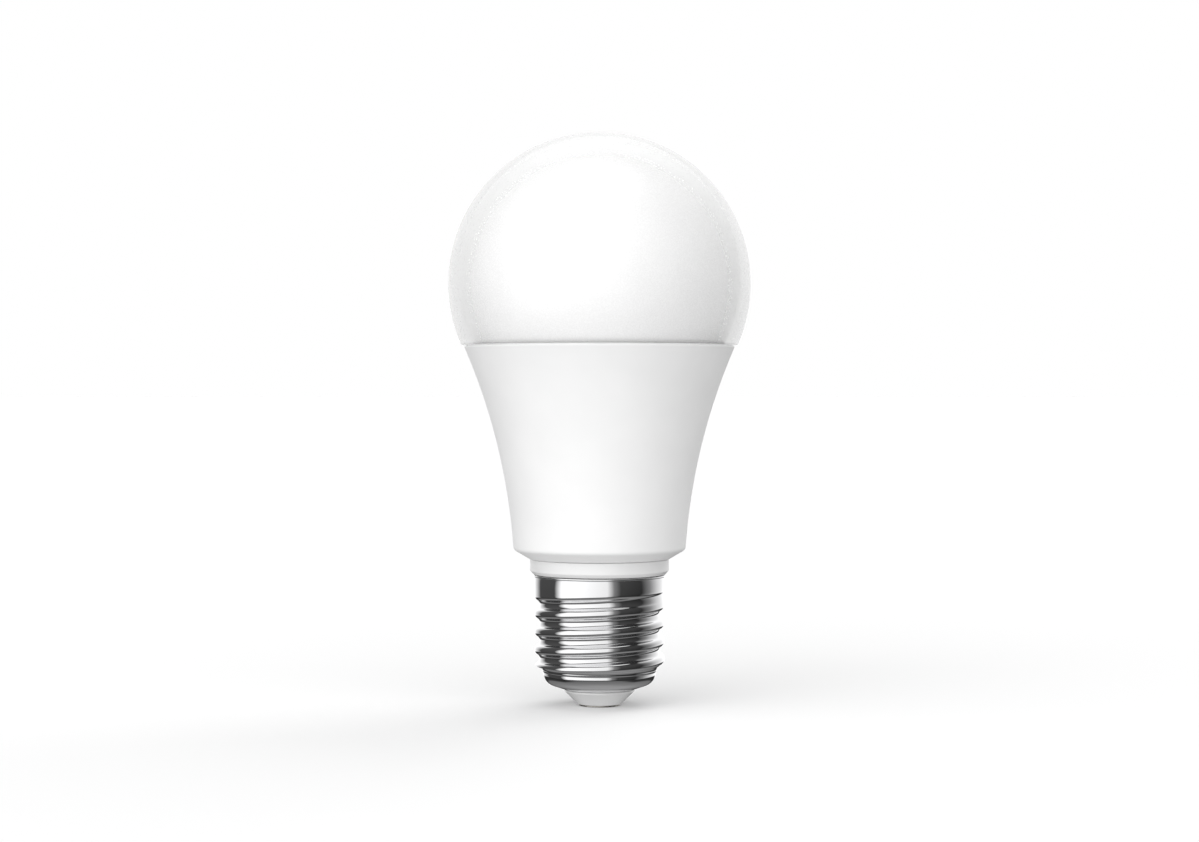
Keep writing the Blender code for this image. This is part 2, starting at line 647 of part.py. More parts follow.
def housing_shell():
    """Moulded outer shell: a flared wall, a chamfer and a floor with the neck's hole."""
    edge = 0.5 * MM
    chip = 0.15 * MM
    corner = (HOUSING_BASE_RADIUS, FLANK_BOTTOM_Z)
    chamfer_foot = (CHAMFER_START_RADIUS, HOUSING_BOTTOM_Z)
    rim = flank_radius(RIM_Z)
    chamfer = math.hypot(HOUSING_BASE_RADIUS - CHAMFER_START_RADIUS, CHAMFER_RISE)
    corner_round = min(HOUSING_CORNER_ROUND, chamfer)
    flank = flank_points(RIM_Z - edge, FLANK_BOTTOM_Z + corner_round, 0.0, 7)
    outer = [(rim - edge, RIM_Z), (rim - chip, RIM_Z - chip)] + flank
    outer += rounded_corner(flank[-1], corner, chamfer_foot, corner_round, 2)
    outer += [chamfer_foot, (NECK_HOLE_RADIUS, HOUSING_BOTTOM_Z)]
    floor_z = HOUSING_BOTTOM_Z + HOUSING_WALL
    inner = cup_side(RIM_Z, floor_z, HOUSING_WALL, NECK_HOLE_RADIUS, 7)
    turned("housing_shell", outer + inner[::-1], LARGE_STEPS, "white_housing")


def heat_sink_cup():
    """Drawn aluminium cup that lines the housing and carries the spreader."""
    points = cup_profile(
        HEAT_SINK_TOP_Z,
        HEAT_SINK_BOTTOM_Z,
        HEAT_SINK_INSET,
        HEAT_SINK_WALL,
        NECK_HOLE_RADIUS,
        5,
    )
    turned("heat_sink_cup", points, MEDIUM_STEPS, "aluminium")


def driver_liner():
    """Insulating cup between the driver and the heat sink."""
    points = cup_profile(
        LINER_TOP_Z, LINER_BOTTOM_Z, LINER_INSET, LINER_WALL, LINER_HOLE_RADIUS, 4
    )
    turned("driver_liner", points, MEDIUM_STEPS, "liner_plastic")


def screw_places():
    """Where the LED board's screws stand, as (x, y)."""
    places = []
    for i in range(SCREW_COUNT):
        angle = math.radians(30) + 2 * math.pi * i / SCREW_COUNT
        places.append((SCREW_RING_RADIUS * math.cos(angle), SCREW_RING_RADIUS * math.sin(angle)))
    return places


def plate_holes():
    """Holes shared by the LED board, its pad and the spreader."""
    holes = [circle(x, y, SCREW_RADIUS + FIT_GAP, 12) for x, y in screw_places()]
    radio_y = RADIO_BOARD_BACK_Y + RADIO_BOARD_THICKNESS / 2
    width = RADIO_BOARD_WIDTH + 2 * RADIO_SLOT_SPACE
    holes.append(rectangle(0.0, radio_y, width, RADIO_BOARD_THICKNESS + 2 * RADIO_SLOT_SPACE))
    holes.append(rectangle(0.0, PINS_Y, PINS_WIDTH + 2 * RADIO_SLOT_SPACE, PIN_SLOT_DEPTH))
    return holes


def plates():
    """Spreader, thermal pad and LED board, one on the other."""
    radius = flank_radius(SPREADER_BOTTOM_Z) - HOUSING_WALL - FIT_GAP
    for name, edge, bottom, thickness, material in (
        ("heat_spreader", radius, SPREADER_BOTTOM_Z, SPREADER_THICKNESS, "aluminium"),
        (
            "thermal_pad",
            LED_BOARD_RADIUS - 2 * FIT_GAP,
            PAD_BOTTOM_Z,
            THERMAL_PAD_THICKNESS,
            "thermal_silicone",
        ),
        ("led_board", LED_BOARD_RADIUS, LED_BOARD_BOTTOM_Z, LED_BOARD_THICKNESS, "white_solder_mask"),
    ):
        loops = [circle(0.0, 0.0, edge, LARGE_STEPS)] + plate_holes()
        flat_piece(name, loops, thickness, material, (0.0, 0.0, bottom + thickness / 2))


# ---- Light ----------------------------------------------------------------------------


def diffuser_globe():
    """Opal dome with a skirt that drops inside the housing's rim."""
    crown_z = GLOBE_CENTRE_Z + GLOBE_RADIUS
    inner_radius = GLOBE_RADIUS - GLOBE_SIDE_WALL
    inner_centre_z = crown_z - GLOBE_CROWN_WALL - inner_radius
    turn_z = GLOBE_EDGE_Z + GLOBE_EDGE_ROUND
    outer_end = math.degrees(math.asin((turn_z - GLOBE_CENTRE_Z) / GLOBE_RADIUS))
    step_z = GLOBE_EDGE_Z + SKIRT_TRANSITION
    inner_end = math.degrees(math.asin((step_z - inner_centre_z) / inner_radius))
    outer = arc((0.0, GLOBE_CENTRE_Z), GLOBE_RADIUS, 90, 0, 8)
    outer += arc((0.0, GLOBE_CENTRE_Z), GLOBE_RADIUS, 0, outer_end, 3)[1:]
    edge_r = outer[-1][0] - GLOBE_EDGE_ROUND
    outer += arc((edge_r, turn_z), GLOBE_EDGE_ROUND, 0, -90, 2)[1:]
    outer += [(SKIRT_RADIUS, GLOBE_EDGE_Z), (SKIRT_RADIUS, SKIRT_BOTTOM_Z)]
    skirt_inner = SKIRT_RADIUS - SKIRT_WALL
    outer += [(skirt_inner, SKIRT_BOTTOM_Z), (skirt_inner, GLOBE_EDGE_Z + GLOBE_EDGE_ROUND)]
    inner = arc((0.0, inner_centre_z), inner_radius, inner_end, 90, 9)
    points = outer + inner
    points[0] = (0.0, crown_z)
    points[-1] = (0.0, crown_z - GLOBE_CROWN_WALL)
    turned("diffuser_globe", points, LARGE_STEPS, "opal_diffuser", closed=False)


def diffuser_adhesive():
    """Bead of silicone under the skirt."""
    low = ADHESIVE_BOTTOM_Z
    high = low + ADHESIVE_THICKNESS
    inner = SKIRT_RADIUS - SKIRT_WALL - 0.2 * MM
    outer = SKIRT_RADIUS - 0.2 * MM
    points = [(inner, high), (outer, high), (outer, low), (inner, low)]
    turned("diffuser_adhesive", points, MEDIUM_STEPS, "silicone")


def led_mesh():
    """A package with its phosphor window sunk inside a raised rim."""
    shape = bmesh.new()
    bmesh.ops.create_cube(shape, size=1.0)
    bmesh.ops.scale(shape, vec=(LED_WIDTH, LED_LENGTH, LED_HEIGHT), verts=shape.verts)
    window = max(shape.faces, key=lambda face: face.calc_center_median().z)
    bmesh.ops.inset_individual(shape, faces=[window], thickness=LED_WALL, depth=0.0)
    bmesh.ops.translate(shape, vec=(0.0, 0.0, -0.15 * MM), verts=window.verts)
    mesh = bpy.data.meshes.new("led_package")
    shape.to_mesh(mesh)
    shape.free()
    return mesh


def leds():
    """Warm and cool packages in turn round one ring, their long sides along it."""
    template = led_mesh()
    for i in range(LED_COUNT):
        kind = "warm" if i % 2 == 0 else "cool"
        angle = 2 * math.pi * (i + 0.5) / LED_COUNT
        package = add_object(f"{kind}_led_{i // 2 + 1}", template.copy(), f"{kind}_phosphor")
        package.location = (
            LED_RING_RADIUS * math.cos(angle),
            LED_RING_RADIUS * math.sin(angle),
            LED_BOARD_TOP_Z + FIT_GAP + LED_HEIGHT / 2,
        )
        package.rotation_euler = (0.0, 0.0, angle)


def board_screws():
    """Pan head screws through the LED board and the pad into the spreader."""
    seat = LED_BOARD_TOP_Z + FIT_GAP
    crown = seat + SCREW_HEAD_HEIGHT
    for number, (x, y) in enumerate(screw_places(), 1):
        shoulder = SCREW_HEAD_RADIUS * 0.7
        points = [(0.0, crown), (shoulder, crown - 0.1 * MM)]
        points += [(SCREW_HEAD_RADIUS, crown - 0.6 * MM), (SCREW_HEAD_RADIUS, seat)]
        points += [(SCREW_RADIUS, seat), (SCREW_RADIUS, seat - SCREW_LENGTH + 0.8 * MM)]
        points.append((0.0, seat - SCREW_LENGTH))
        name = f"board_screw_{number}"
        screw = turned(name, points, 12, "zinc_steel", closed=False)
        screw.location = (x, y, 0.0)
        length = 2 * shoulder * 0.9
        for axis, size in (
            ("x", (length, SCREW_RECESS_WIDTH, SCREW_HEAD_HEIGHT)),
            ("y", (SCREW_RECESS_WIDTH, length, SCREW_HEAD_HEIGHT)),
        ):
            cut(screw, block(f"{name}_recess_{axis}", size, (x, y, crown)))


# ---- Driver -------------------------------------------------------------------------


def tongue_half_width():
    """Half the width that the driver board's tongue has inside the collar's bore."""
    bore = min(COLLAR_BORE_RADIUS, NECK_BORE_RADIUS)
    reach = math.sqrt(bore**2 - DRIVER_BOARD_BACK_Y**2)
    return reach - DRIVER_BOARD_SIDE_SPACE


def driver_board():
    """T-shaped board: its head fills the liner and its tongue hangs in the collar."""
    inset = LINER_INSET + LINER_WALL
    reach = flank_radius(DRIVER_SHOULDER_Z) - inset
    reach = min(reach, chamfer_radius(DRIVER_SHOULDER_Z, inset))
    head = math.sqrt(reach**2 - DRIVER_BOARD_BACK_Y**2) - DRIVER_BOARD_SIDE_SPACE
    tongue = tongue_half_width()
    low = COLLAR_SPIGOT_BOTTOM_Z + DRIVER_TONGUE_RISE
    loop = [(-tongue, low), (tongue, low), (tongue, DRIVER_SHOULDER_Z), (head, DRIVER_SHOULDER_Z)]
    loop += [(head, DRIVER_BOARD_TOP_Z), (-head, DRIVER_BOARD_TOP_Z)]
    loop += [(-head, DRIVER_SHOULDER_Z), (-tongue, DRIVER_SHOULDER_Z)]
    centre = (0.0, DRIVER_BOARD_FRONT_Y - DRIVER_BOARD_THICKNESS / 2, 0.0)
    flat_piece("driver_board", [loop], DRIVER_BOARD_THICKNESS, "green_board", centre, upright=True)


def can(name, radius, height, x, bottom_z, material):
    """An electrolytic capacitor: a round can with a crimp near its foot."""
    crimp = 0.3 * MM
    edge = 0.5 * MM
    points = [(0.0, height), (radius - edge, height), (radius, height - edge)]
    points += [(radius, 2.2 * MM), (radius - crimp, 1.7 * MM), (radius, 1.2 * MM)]
    points += [(radius, 0.3 * MM), (radius - 0.3 * MM, 0.0), (0.0, 0.0)]
    piece = turned(name, points, SMALL_STEPS, material, closed=False)
    piece.location = (x, DRIVER_FACE_Y + radius, bottom_z)


def fusible_resistor():
    """Axial resistor at the live input, its body rounded and its two leads in line."""
    body = 1.6 * MM
    wire = 0.35 * MM
    low = COLLAR_SPIGOT_BOTTOM_Z + DRIVER_TONGUE_RISE + 2.5 * MM
    length = 12.0 * MM
    end = 2.0 * MM
    points = [(0.0, length), (wire, length), (wire, length - end)]
    points += rounded_corner(
        points[-1], (body, length - end), (body, length / 2), 0.6 * MM, 2
    )
    points += rounded_corner((body, length / 2), (body, end), (wire, end), 0.6 * MM, 2)
    points += [(wire, end), (wire, 0.0), (0.0, 0.0)]
    piece = turned("fusible_resistor", points, 16, "resistor_coat", closed=False)
    piece.location = (-3.2 * MM, DRIVER_FACE_Y + body, low)
    return piece.location


def input_parts():
    """Mains parts: varistor in the neck, rectifier behind it, and the filter above."""
    tongue_top = DRIVER_SHOULDER_Z
    radius = 3.4 * MM
    depth = 2.6 * MM
    points = [(0.0, depth), (radius - 0.7 * MM, depth), (radius, depth - 0.7 * MM)]
    points += [(radius, 0.7 * MM), (radius - 0.7 * MM, 0.0), (0.0, 0.0)]
    disc = turned("surge_varistor", points, SMALL_STEPS, "varistor_coat", closed=False)
    disc.rotation_euler = (-math.pi / 2, 0.0, 0.0)
    disc.location = (3.8 * MM, DRIVER_FACE_Y, tongue_top - 8.0 * MM)

    size = (4.7 * MM, 2.4 * MM, 3.9 * MM)
    rear_block("bridge_rectifier", size, 0.0, tongue_top - 8.0 * MM, "black_component", 0.3 * MM)
    size = (7.0 * MM, 4.5 * MM, 9.5 * MM)
    z = DRIVER_BOARD_TOP_Z - 9.2 * MM
    front_block("film_capacitor", size, -8.4 * MM, z, "film_capacitor_case", 0.5 * MM)

    foot = DRIVER_SHOULDER_Z + 1.5 * MM
    can("bulk_capacitor", 4.0 * MM, 12.0 * MM, 6.4 * MM, foot, "capacitor_sleeve")
    can("output_capacitor", 3.15 * MM, 11.0 * MM, -2.4 * MM, foot, "capacitor_sleeve")


def filter_choke():
    """Drum core with a coil wound in its waist."""
    radius = 3.0 * MM
    waist = 1.3 * MM
    flange = 1.0 * MM
    height = 8.0 * MM
    x = -9.2 * MM
    place = (x, DRIVER_FACE_Y + radius, DRIVER_SHOULDER_Z + 1.5 * MM)
    points = [(0.0, height), (radius, height), (radius, height - flange)]
    points += [(waist, height - flange), (waist, flange), (radius, flange)]
    points += [(radius, 0.0), (0.0, 0.0)]
    turned("choke_core", points, SMALL_STEPS, "ferrite", closed=False).location = place
    inner = waist + FIT_GAP
    outer = radius - 0.4 * MM
    low = flange + FIT_GAP
    high = height - flange - FIT_GAP
    points = [(inner, high), (outer, high), (outer, low), (inner, low)]
    turned("choke_coil", points, SMALL_STEPS, "enamelled_copper").location = place


def transformer():
    """Ferrite core with two windows, and a winding round its middle leg."""
    width = 12.0 * MM
    height = 10.0 * MM
    depth = 4.6 * MM
    leg = 3.0 * MM
    bar = 1.6 * MM
    window_w = (width - leg - 2 * bar) / 2
    window_h = height - 2 * bar
    winding_depth = 8.4 * MM
    x = 4.8 * MM
    y = DRIVER_FACE_Y + winding_depth / 2
    z = DRIVER_BOARD_TOP_Z - 8.8 * MM
    loops = [rectangle(0.0, 0.0, width, height)]
    for side in (-1, 1):
        loops.append(rectangle(side * (leg + window_w) / 2, 0.0, window_w, window_h))
    flat_piece("transformer_core", loops, depth, "ferrite", (x, y, z), upright=True)
    outer = rectangle(0.0, 0.0, leg + 2 * (window_w - FIT_GAP), winding_depth)
    inner = rectangle(0.0, 0.0, leg + 2 * FIT_GAP, depth + 2 * FIT_GAP)
    loops = [outer, inner]
    thickness = window_h - 2 * FIT_GAP
    flat_piece("transformer_winding", loops, thickness, "winding_tape", (x, y, z))


def board_chips():
    """Small parts on the back of the driver board."""
    top = DRIVER_BOARD_TOP_Z
    for name, size, x, z in (
        ("driver_ic", (4.9, 1.6, 3.9), 3.5, top - 14 * MM),
        ("dimming_ic", (4.0, 1.4, 4.0), -5.0, top - 7 * MM),
        ("freewheel_diode", (4.3, 2.2, 2.6), -4.5, top - 16 * MM),
    ):
        size = tuple(side * MM for side in size)
        rear_block(name, size, x * MM, z, "black_component", 0.25 * MM)


def led_feed():
    """Three pins up from the driver board, and the socket on the LED board round them."""
    low = DRIVER_BOARD_TOP_Z - 3.0 * MM
    bar = low + 2.2 * MM
    top = LED_BOARD_TOP_Z + FIT_GAP + SOCKET_HEIGHT - 0.4 * MM
    half = PINS_WIDTH / 2
    loop = [(-half, low), (half, low)]
    for i in (1, 0, -1):
        right = i * PIN_SPACING + PIN_THICKNESS / 2
        left = i * PIN_SPACING - PIN_THICKNESS / 2
        loop += [(right, bar)] if i < 1 else []
        loop += [(right, top), (left, top)]
        loop += [(left, bar)] if i > -1 else []
    centre = (0.0, PINS_Y, 0.0)
    flat_piece("led_feed_pins", [loop], PIN_THICKNESS, "tinned_steel", centre, upright=True)
    loops = [rectangle(0.0, 0.0, PINS_WIDTH + 2.6 * MM, 3.6 * MM)]
    loops.append(rectangle(0.0, 0.0, PINS_WIDTH + 2 * FIT_GAP, PIN_SLOT_DEPTH))
    z = LED_BOARD_TOP_Z + FIT_GAP + SOCKET_HEIGHT / 2
    flat_piece("led_socket", loops, SOCKET_HEIGHT, "white_connector", (0.0, PINS_Y, z))


def radio():
    """Upright radio board through the LED board, with its header, can and aerial."""
    low = DRIVER_BOARD_TOP_Z - RADIO_BOARD_DROP
    high = LED_BOARD_TOP_Z + RADIO_BOARD_STAND
    back = RADIO_BOARD_BACK_Y
    front = back + RADIO_BOARD_THICKNESS
    centre = (0.0, (back + front) / 2, (low + high) / 2)
    size = (RADIO_BOARD_WIDTH, RADIO_BOARD_THICKNESS, high - low)
    block("radio_board", size, centre, "green_board")

    start = DRIVER_FACE_Y
    end = back - FIT_GAP
    size = (2.4 * MM, end - start, 2.4 * MM)
    z = DRIVER_BOARD_TOP_Z - 2.2 * MM
    block("radio_header", size, (-5.0 * MM, (start + end) / 2, z), "black_component", 0.3 * MM)

    can_height = SPREADER_BOTTOM_Z - 2 * FIT_GAP - (low + 0.6 * MM)
    size = (RADIO_BOARD_WIDTH - 1.4 * MM, 1.8 * MM, can_height)
    centre = (0.0, front + FIT_GAP + size[1] / 2, low + 0.6 * MM + can_height / 2)
    block("radio_shield_can", size, centre, "tinned_steel", 0.3 * MM)

    route = []
    for row in range(ANTENNA_ROWS):
        z = LED_BOARD_TOP_Z + ANTENNA_RISE + row * 2 * ANTENNA_TRACE
        side = 1 if row % 2 == 0 else -1
        route += [(-side * ANTENNA_REACH, z), (side * ANTENNA_REACH, z)]
    loop = strip_outline(route, ANTENNA_TRACE)
    centre = (0.0, front + FIT_GAP + ANTENNA_THICKNESS / 2, 0.0)
    flat_piece("radio_antenna", [loop], ANTENNA_THICKNESS, "enamelled_copper", centre, upright=True)


def leads(stem_top, resistor_foot):
    """Live lead from the contact to the resistor, and neutral lead out to the shell."""
    x, y, z = resistor_foot
    live = [(0.0, 0.0, stem_top + FIT_GAP), (0.0, 0.0, stem_top + 2.5 * MM)]
    live += [(x * 0.6, y * 0.4, (stem_top + z) / 2 + 1 * MM), (x, y, z - 1.2 * MM)]
    live.append((x, y, z - FIT_GAP))
    lead("live_lead", live, "red_insulation")

    notch_z = COLLAR_SPIGOT_BOTTOM_Z + LEAD_RADIUS + FIT_GAP
    board_z = COLLAR_SPIGOT_BOTTOM_Z + DRIVER_TONGUE_RISE
    x = tongue_half_width() - 2.0 * MM
    y = DRIVER_FACE_Y + LEAD_RADIUS
    bore = COLLAR_BORE_RADIUS
    neutral = [(x, y, board_z + 4.0 * MM), (x, y, board_z + 0.5 * MM)]
    neutral += [((x + bore) / 2 - 1.0 * MM, y / 2, notch_z + 1.0 * MM)]
    neutral += [(bore - 1.0 * MM, 0.0, notch_z)]
    neutral.append((CAP_ROOT_INNER_RADIUS - FIT_GAP, 0.0, notch_z))
    lead("neutral_lead", neutral, "black_insulation")


clear_scene()
BULB = new_collection("smart_bulb")
CUTTERS = new_collection("cutters")

STEM_TOP_Z = centre_contact()
cap_insulator()
screw_cap_shell()
neck_collar()
housing_shell()
heat_sink_cup()
driver_liner()
plates()
diffuser_globe()
diffuser_adhesive()
leds()
board_screws()
driver_board()
RESISTOR_FOOT = fusible_resistor()
input_parts()
filter_choke()
transformer()
board_chips()
led_feed()
radio()
leads(STEM_TOP_Z, RESISTOR_FOOT)
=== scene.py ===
"""Looks of a smart light bulb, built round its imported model.

Lengths are in metres and +Z runs up the bulb's axis. Heights and radii come from the
model's own nodes, and those that no node's box gives are named sizes in millimetres.
"""

import math

import bpy
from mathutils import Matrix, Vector


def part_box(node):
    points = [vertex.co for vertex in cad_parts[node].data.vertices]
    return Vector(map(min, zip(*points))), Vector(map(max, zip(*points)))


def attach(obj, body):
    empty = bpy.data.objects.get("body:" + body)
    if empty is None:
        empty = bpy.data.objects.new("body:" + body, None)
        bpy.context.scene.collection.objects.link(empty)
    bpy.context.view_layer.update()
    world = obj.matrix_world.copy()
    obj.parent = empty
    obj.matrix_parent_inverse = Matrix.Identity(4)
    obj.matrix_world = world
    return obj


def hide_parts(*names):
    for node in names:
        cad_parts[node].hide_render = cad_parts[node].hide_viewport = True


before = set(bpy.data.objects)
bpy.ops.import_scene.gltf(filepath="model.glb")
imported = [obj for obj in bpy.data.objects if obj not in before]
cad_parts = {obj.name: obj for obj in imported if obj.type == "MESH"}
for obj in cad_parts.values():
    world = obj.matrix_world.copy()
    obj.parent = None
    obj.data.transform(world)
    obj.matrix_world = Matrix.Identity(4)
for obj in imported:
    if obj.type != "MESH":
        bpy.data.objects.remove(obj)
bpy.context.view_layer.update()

MM = 0.001

# ---- Sizes and places ---------------------------------------------------------------


def reach(node):
    """A turned node's lowest height, highest height and largest radius."""
    low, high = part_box(node)
    return low[2], high[2], high[0]


GLOBE_LOW_Z, CROWN_Z, GLOBE_RADIUS = reach("diffuser_globe")
HOUSING_LOW_Z, HOUSING_RIM_Z, RIM_RADIUS = reach("housing_shell")
SPIGOT_LOW_Z, NECK_TOP_Z, COLLAR_RADIUS = reach("neck_collar")
CAP_LOW_Z, CAP_TOP_Z, LIP_RADIUS = reach("screw_cap_shell")
STEM_TOP_Z, CONTACT_RADIUS = reach("centre_contact")[1:]
INSULATOR_TOP_Z = reach("cap_insulator")[1]

# Diffuser
GLOBE_CENTRE_Z = CROWN_Z - GLOBE_RADIUS
CROWN_WALL = 1.0 * MM
SIDE_WALL = 2.25 * MM
INNER_RADIUS = GLOBE_RADIUS - SIDE_WALL
INNER_CENTRE_Z = CROWN_Z - CROWN_WALL - INNER_RADIUS
COAT_BITE = 0.25 * MM
COAT_THICKNESS = 0.6 * MM
COAT_EDGE_GAP = 0.02 * MM
GLOBE_EDGE_Z = HOUSING_RIM_Z + 0.3 * MM
GLOBE_EDGE_ROUND = 0.5 * MM
SKIRT_RADIUS = 24.2 * MM
SKIRT_WALL = 1.2 * MM
SKIRT_LEDGE = 0.4 * MM
POLE_DEG = 89

# Housing
SEAM_GAP = 0.16 * MM
RIM_Z = GLOBE_EDGE_Z - SEAM_GAP
RIM_ROUND = 0.35 * MM
REBATE_INSET = 0.7 * MM
REBATE_GAP = 0.01 * MM
BASE_RADIUS = 17.35 * MM
BASE_Z = HOUSING_LOW_Z + 1.83 * MM
BASE_ROUND = 1.0 * MM
FLANK_ARC = 123.0 * MM
FLANK_ROWS = 44
INNER_FLANK_ROWS = 12
HOUSING_WALL = 1.2 * MM
INNER_FLANK_RISE = HOUSING_WALL * 0.8
HOUSING_FLOOR_RADIUS = 13.9 * MM
CHAMFER_FOOT_STEP = 0.3 * MM
CHAMFER_FOOT_ROUND = 0.15 * MM

# Collar, its spigot down into the cap and its neck with a snap lip up into the housing
COLLAR_TOP_Z = HOUSING_LOW_Z - 0.08 * MM
COLLAR_LOW_Z = CAP_TOP_Z + 0.12 * MM
COLLAR_TAPER = 0.7 * MM
COLLAR_TAPER_STEP = 0.65 * MM
COLLAR_RIM_ROUND = 0.25 * MM
COLLAR_TAPER_ROUND = 0.4 * MM
COLLAR_FOOT_ROUND = 0.15 * MM
NECK_RADIUS = 12.5 * MM
NECK_GAP = 0.1 * MM
NECK_LEAD_IN = 0.4 * MM
SNAP_REACH = 0.6 * MM
SNAP_EDGE = 0.5 * MM
SPIGOT_RADIUS = 11.4 * MM
BORE_RADIUS = 9.9 * MM
SNAP_LOW_Z = NECK_TOP_Z - 1.5 * MM

# Threaded shell
THREAD_RADIUS = 13.15 * MM
THREAD_DEPTH = 1.05 * MM
THREAD_PITCH = 25.4 / 7 * MM
SHELL_WALL = 0.4 * MM
CUP_RADIUS = 11.4 * MM
CUP_TOP_Z = CAP_LOW_Z + 3.4 * MM
CUP_FLARE = 0.3
CUP_CORNER_STEP = 0.60 * MM
CUP_CORNER_RISE = 1.25 * MM
CUP_CORNER_ROUND = 2.6 * MM
CUP_FOOT_DROP = 0.4 * MM
CUP_FOOT_ROUND = 1.6 * MM
MOUTH_RADIUS = 7.15 * MM
LIP_ROUND = 0.24 * MM
BAND_EDGE = 0.06 * MM
BAND_EDGE_DROP = 0.52 * MM
BAND_TOP_DROP = 0.64 * MM
FIRST_CREST_Z = CAP_LOW_Z + 6.15 * MM
THREAD_HEAD_Z = CAP_TOP_Z - 3.85 * MM
THREAD_ROWS = 150
THREAD_BLEND_LOW_Z = CUP_TOP_Z + 0.9 * MM
THREAD_BLEND_TOP_Z = CUP_TOP_Z + 1.5 * MM
BEAD_RISES = (0.37 * MM, 0.87 * MM)
BEAD_HALF_WIDTH = 0.25 * MM
BEAD_HEIGHT = 0.06 * MM

# Insulator and contact
INSULATOR_LOW_Z = 0.32 * MM
INSULATOR_TIP_RADIUS = 4.7 * MM
INSULATOR_TIP_ROUND = 0.45 * MM
INSULATOR_BAND_RADIUS = 7.05 * MM
INSULATOR_BAND_HEIGHT = 0.42 * MM
INSULATOR_BAND_EDGE = 0.08 * MM
INSULATOR_BAND_GAP = 0.04 * MM
INSULATOR_CONE_STEP = 0.14 * MM
INSULATOR_TIP_STEP = 0.25 * MM
INSULATOR_NECK_GAP = 0.5 * MM
INSULATOR_FLANGE_RADIUS = 8.0 * MM
INSULATOR_FLANGE_Z = CAP_LOW_Z + 0.7 * MM
CONTACT_EDGE = 0.12 * MM
CONTACT_GAP = 0.02 * MM
CONTACT_DISH = ((2.4 * MM, 0.0), (1.8 * MM, 0.06 * MM), (0.5 * MM, 0.08 * MM))
STEM_RADIUS = 1.2 * MM
STEM_GAP = 0.05 * MM
STEM_TIP_RADIUS = 0.6 * MM
STEM_TIP_DROP = 0.2 * MM

# Facets round the pieces, the gap under which points merge, and the angles up to which
# turned and rolled surfaces shade as smooth
FINE_RING = 192
SMALL_RING = 96
MERGE_GAP = 0.002 * MM
TURNED_SMOOTH = math.radians(32)
ROLLED_SMOOTH = math.radians(40)

# Clear wall's opacity, from where it is seen face-on to where it is seen edge-on
HAZE_FACING = (0.20, 0.62)
HAZE_OPACITY = (0.10, 0.36)

# A surface's slow drift of colour is this many grains across
DRIFT_GRAINS = 40

# ---- Camera and studio --------------------------------------------------------------

CAMERA_PLACE = Vector((0.0, -486.0 * MM, 63.3 * MM))
CAMERA_AIM = Vector((0.0, 0.0, 57.3 * MM))
CAMERA_LENS = 72.4
CAMERA_SENSOR = 36.0
CAMERA_NEAR = 0.01

FLOOR_RADIUS = 30.0
FLOOR_Z = -0.02 * MM

# Soft light on matt surfaces, as shares of white
FILL_LIGHT = 0.40
KEY_LIGHT = 1.16
KEY_PLACE = (-16, 14)
OVERHEAD_LIGHT = 0.16

# Distant softboxes: name, azimuth, height and spread in degrees, and strength
SOFTBOXES = (
    ("back_right_softbox", 142, 42, 50, 0.90),
    ("front_left_softbox", -38, 36, 40, 0.25),
)

# The mirrored studio's level, and how far its back wall is raised
MIRRORED_LEVEL = 1.12
BACK_WALL_RAISE = 0.16


def srgb(text):
    """A linear colour from an sRGB hex value."""
    linear = []
    for i in (0, 2, 4):
        value = int(text[i : i + 2], 16) / 255
        linear.append(value / 12.92 if value <= 0.04045 else ((value + 0.055) / 1.055) ** 2.4)
    return (*linear, 1.0)


def add_node(tree, kind, settings=None, values=None, links=None):
    """Adds a node with its settings, its inputs' values and the outputs that feed it."""
    node = tree.nodes.new(kind)
    for key, value in (settings or {}).items():
        setattr(node, key, value)
    for key, value in (values or {}).items():
        node.inputs[key].default_value = value
    for key, output in (links or {}).items():
        tree.links.new(output, node.inputs[key])
    return node


def set_stops(ramp, stops):
    """Gives a colour ramp its stops, as (position, linear colour)."""
    elements = ramp.color_ramp.elements
    while len(elements) < len(stops):
        elements.new(0.5)
    for element, (position, colour) in zip(elements, stops):
        element.position = position
        element.color = colour


def add_camera():
    """A long lens a little above the bulb's middle height."""
    data = bpy.data.cameras.new("camera")
    data.lens = CAMERA_LENS
    data.sensor_width = CAMERA_SENSOR
    data.clip_start = CAMERA_NEAR
    camera = bpy.data.objects.new("camera", data)
    camera.location = CAMERA_PLACE
    camera.rotation_euler = (CAMERA_AIM - CAMERA_PLACE).to_track_quat("-Z", "Y").to_euler()
    bpy.context.scene.collection.objects.link(camera)
    bpy.context.scene.camera = camera


def grey(value):
    """A neutral linear colour."""
    return (value, value, value, 1.0)


def studio_walls():
    """Light round the bulb by azimuth in degrees: 0 is in front and 90 is to the right.

    A wide softbox stands in front and to the left, a black flag on each side of it, and
    a white wall behind.
    """
    return (
        (-180, 1.15),
        (-160, 1.05),
        (-142, 0.55),
        (-128, 0.06),
        (-86, 0.05),
        (-72, 1.10),
        (-45, 1.20),
        (-5, 1.00),
        (14, 0.92),
        (26, 0.20),
        (38, 0.04),
        (80, 0.02),
        (100, 0.22),
        (122, 0.65),
        (150, 1.05),
        (180, 1.15),
    )


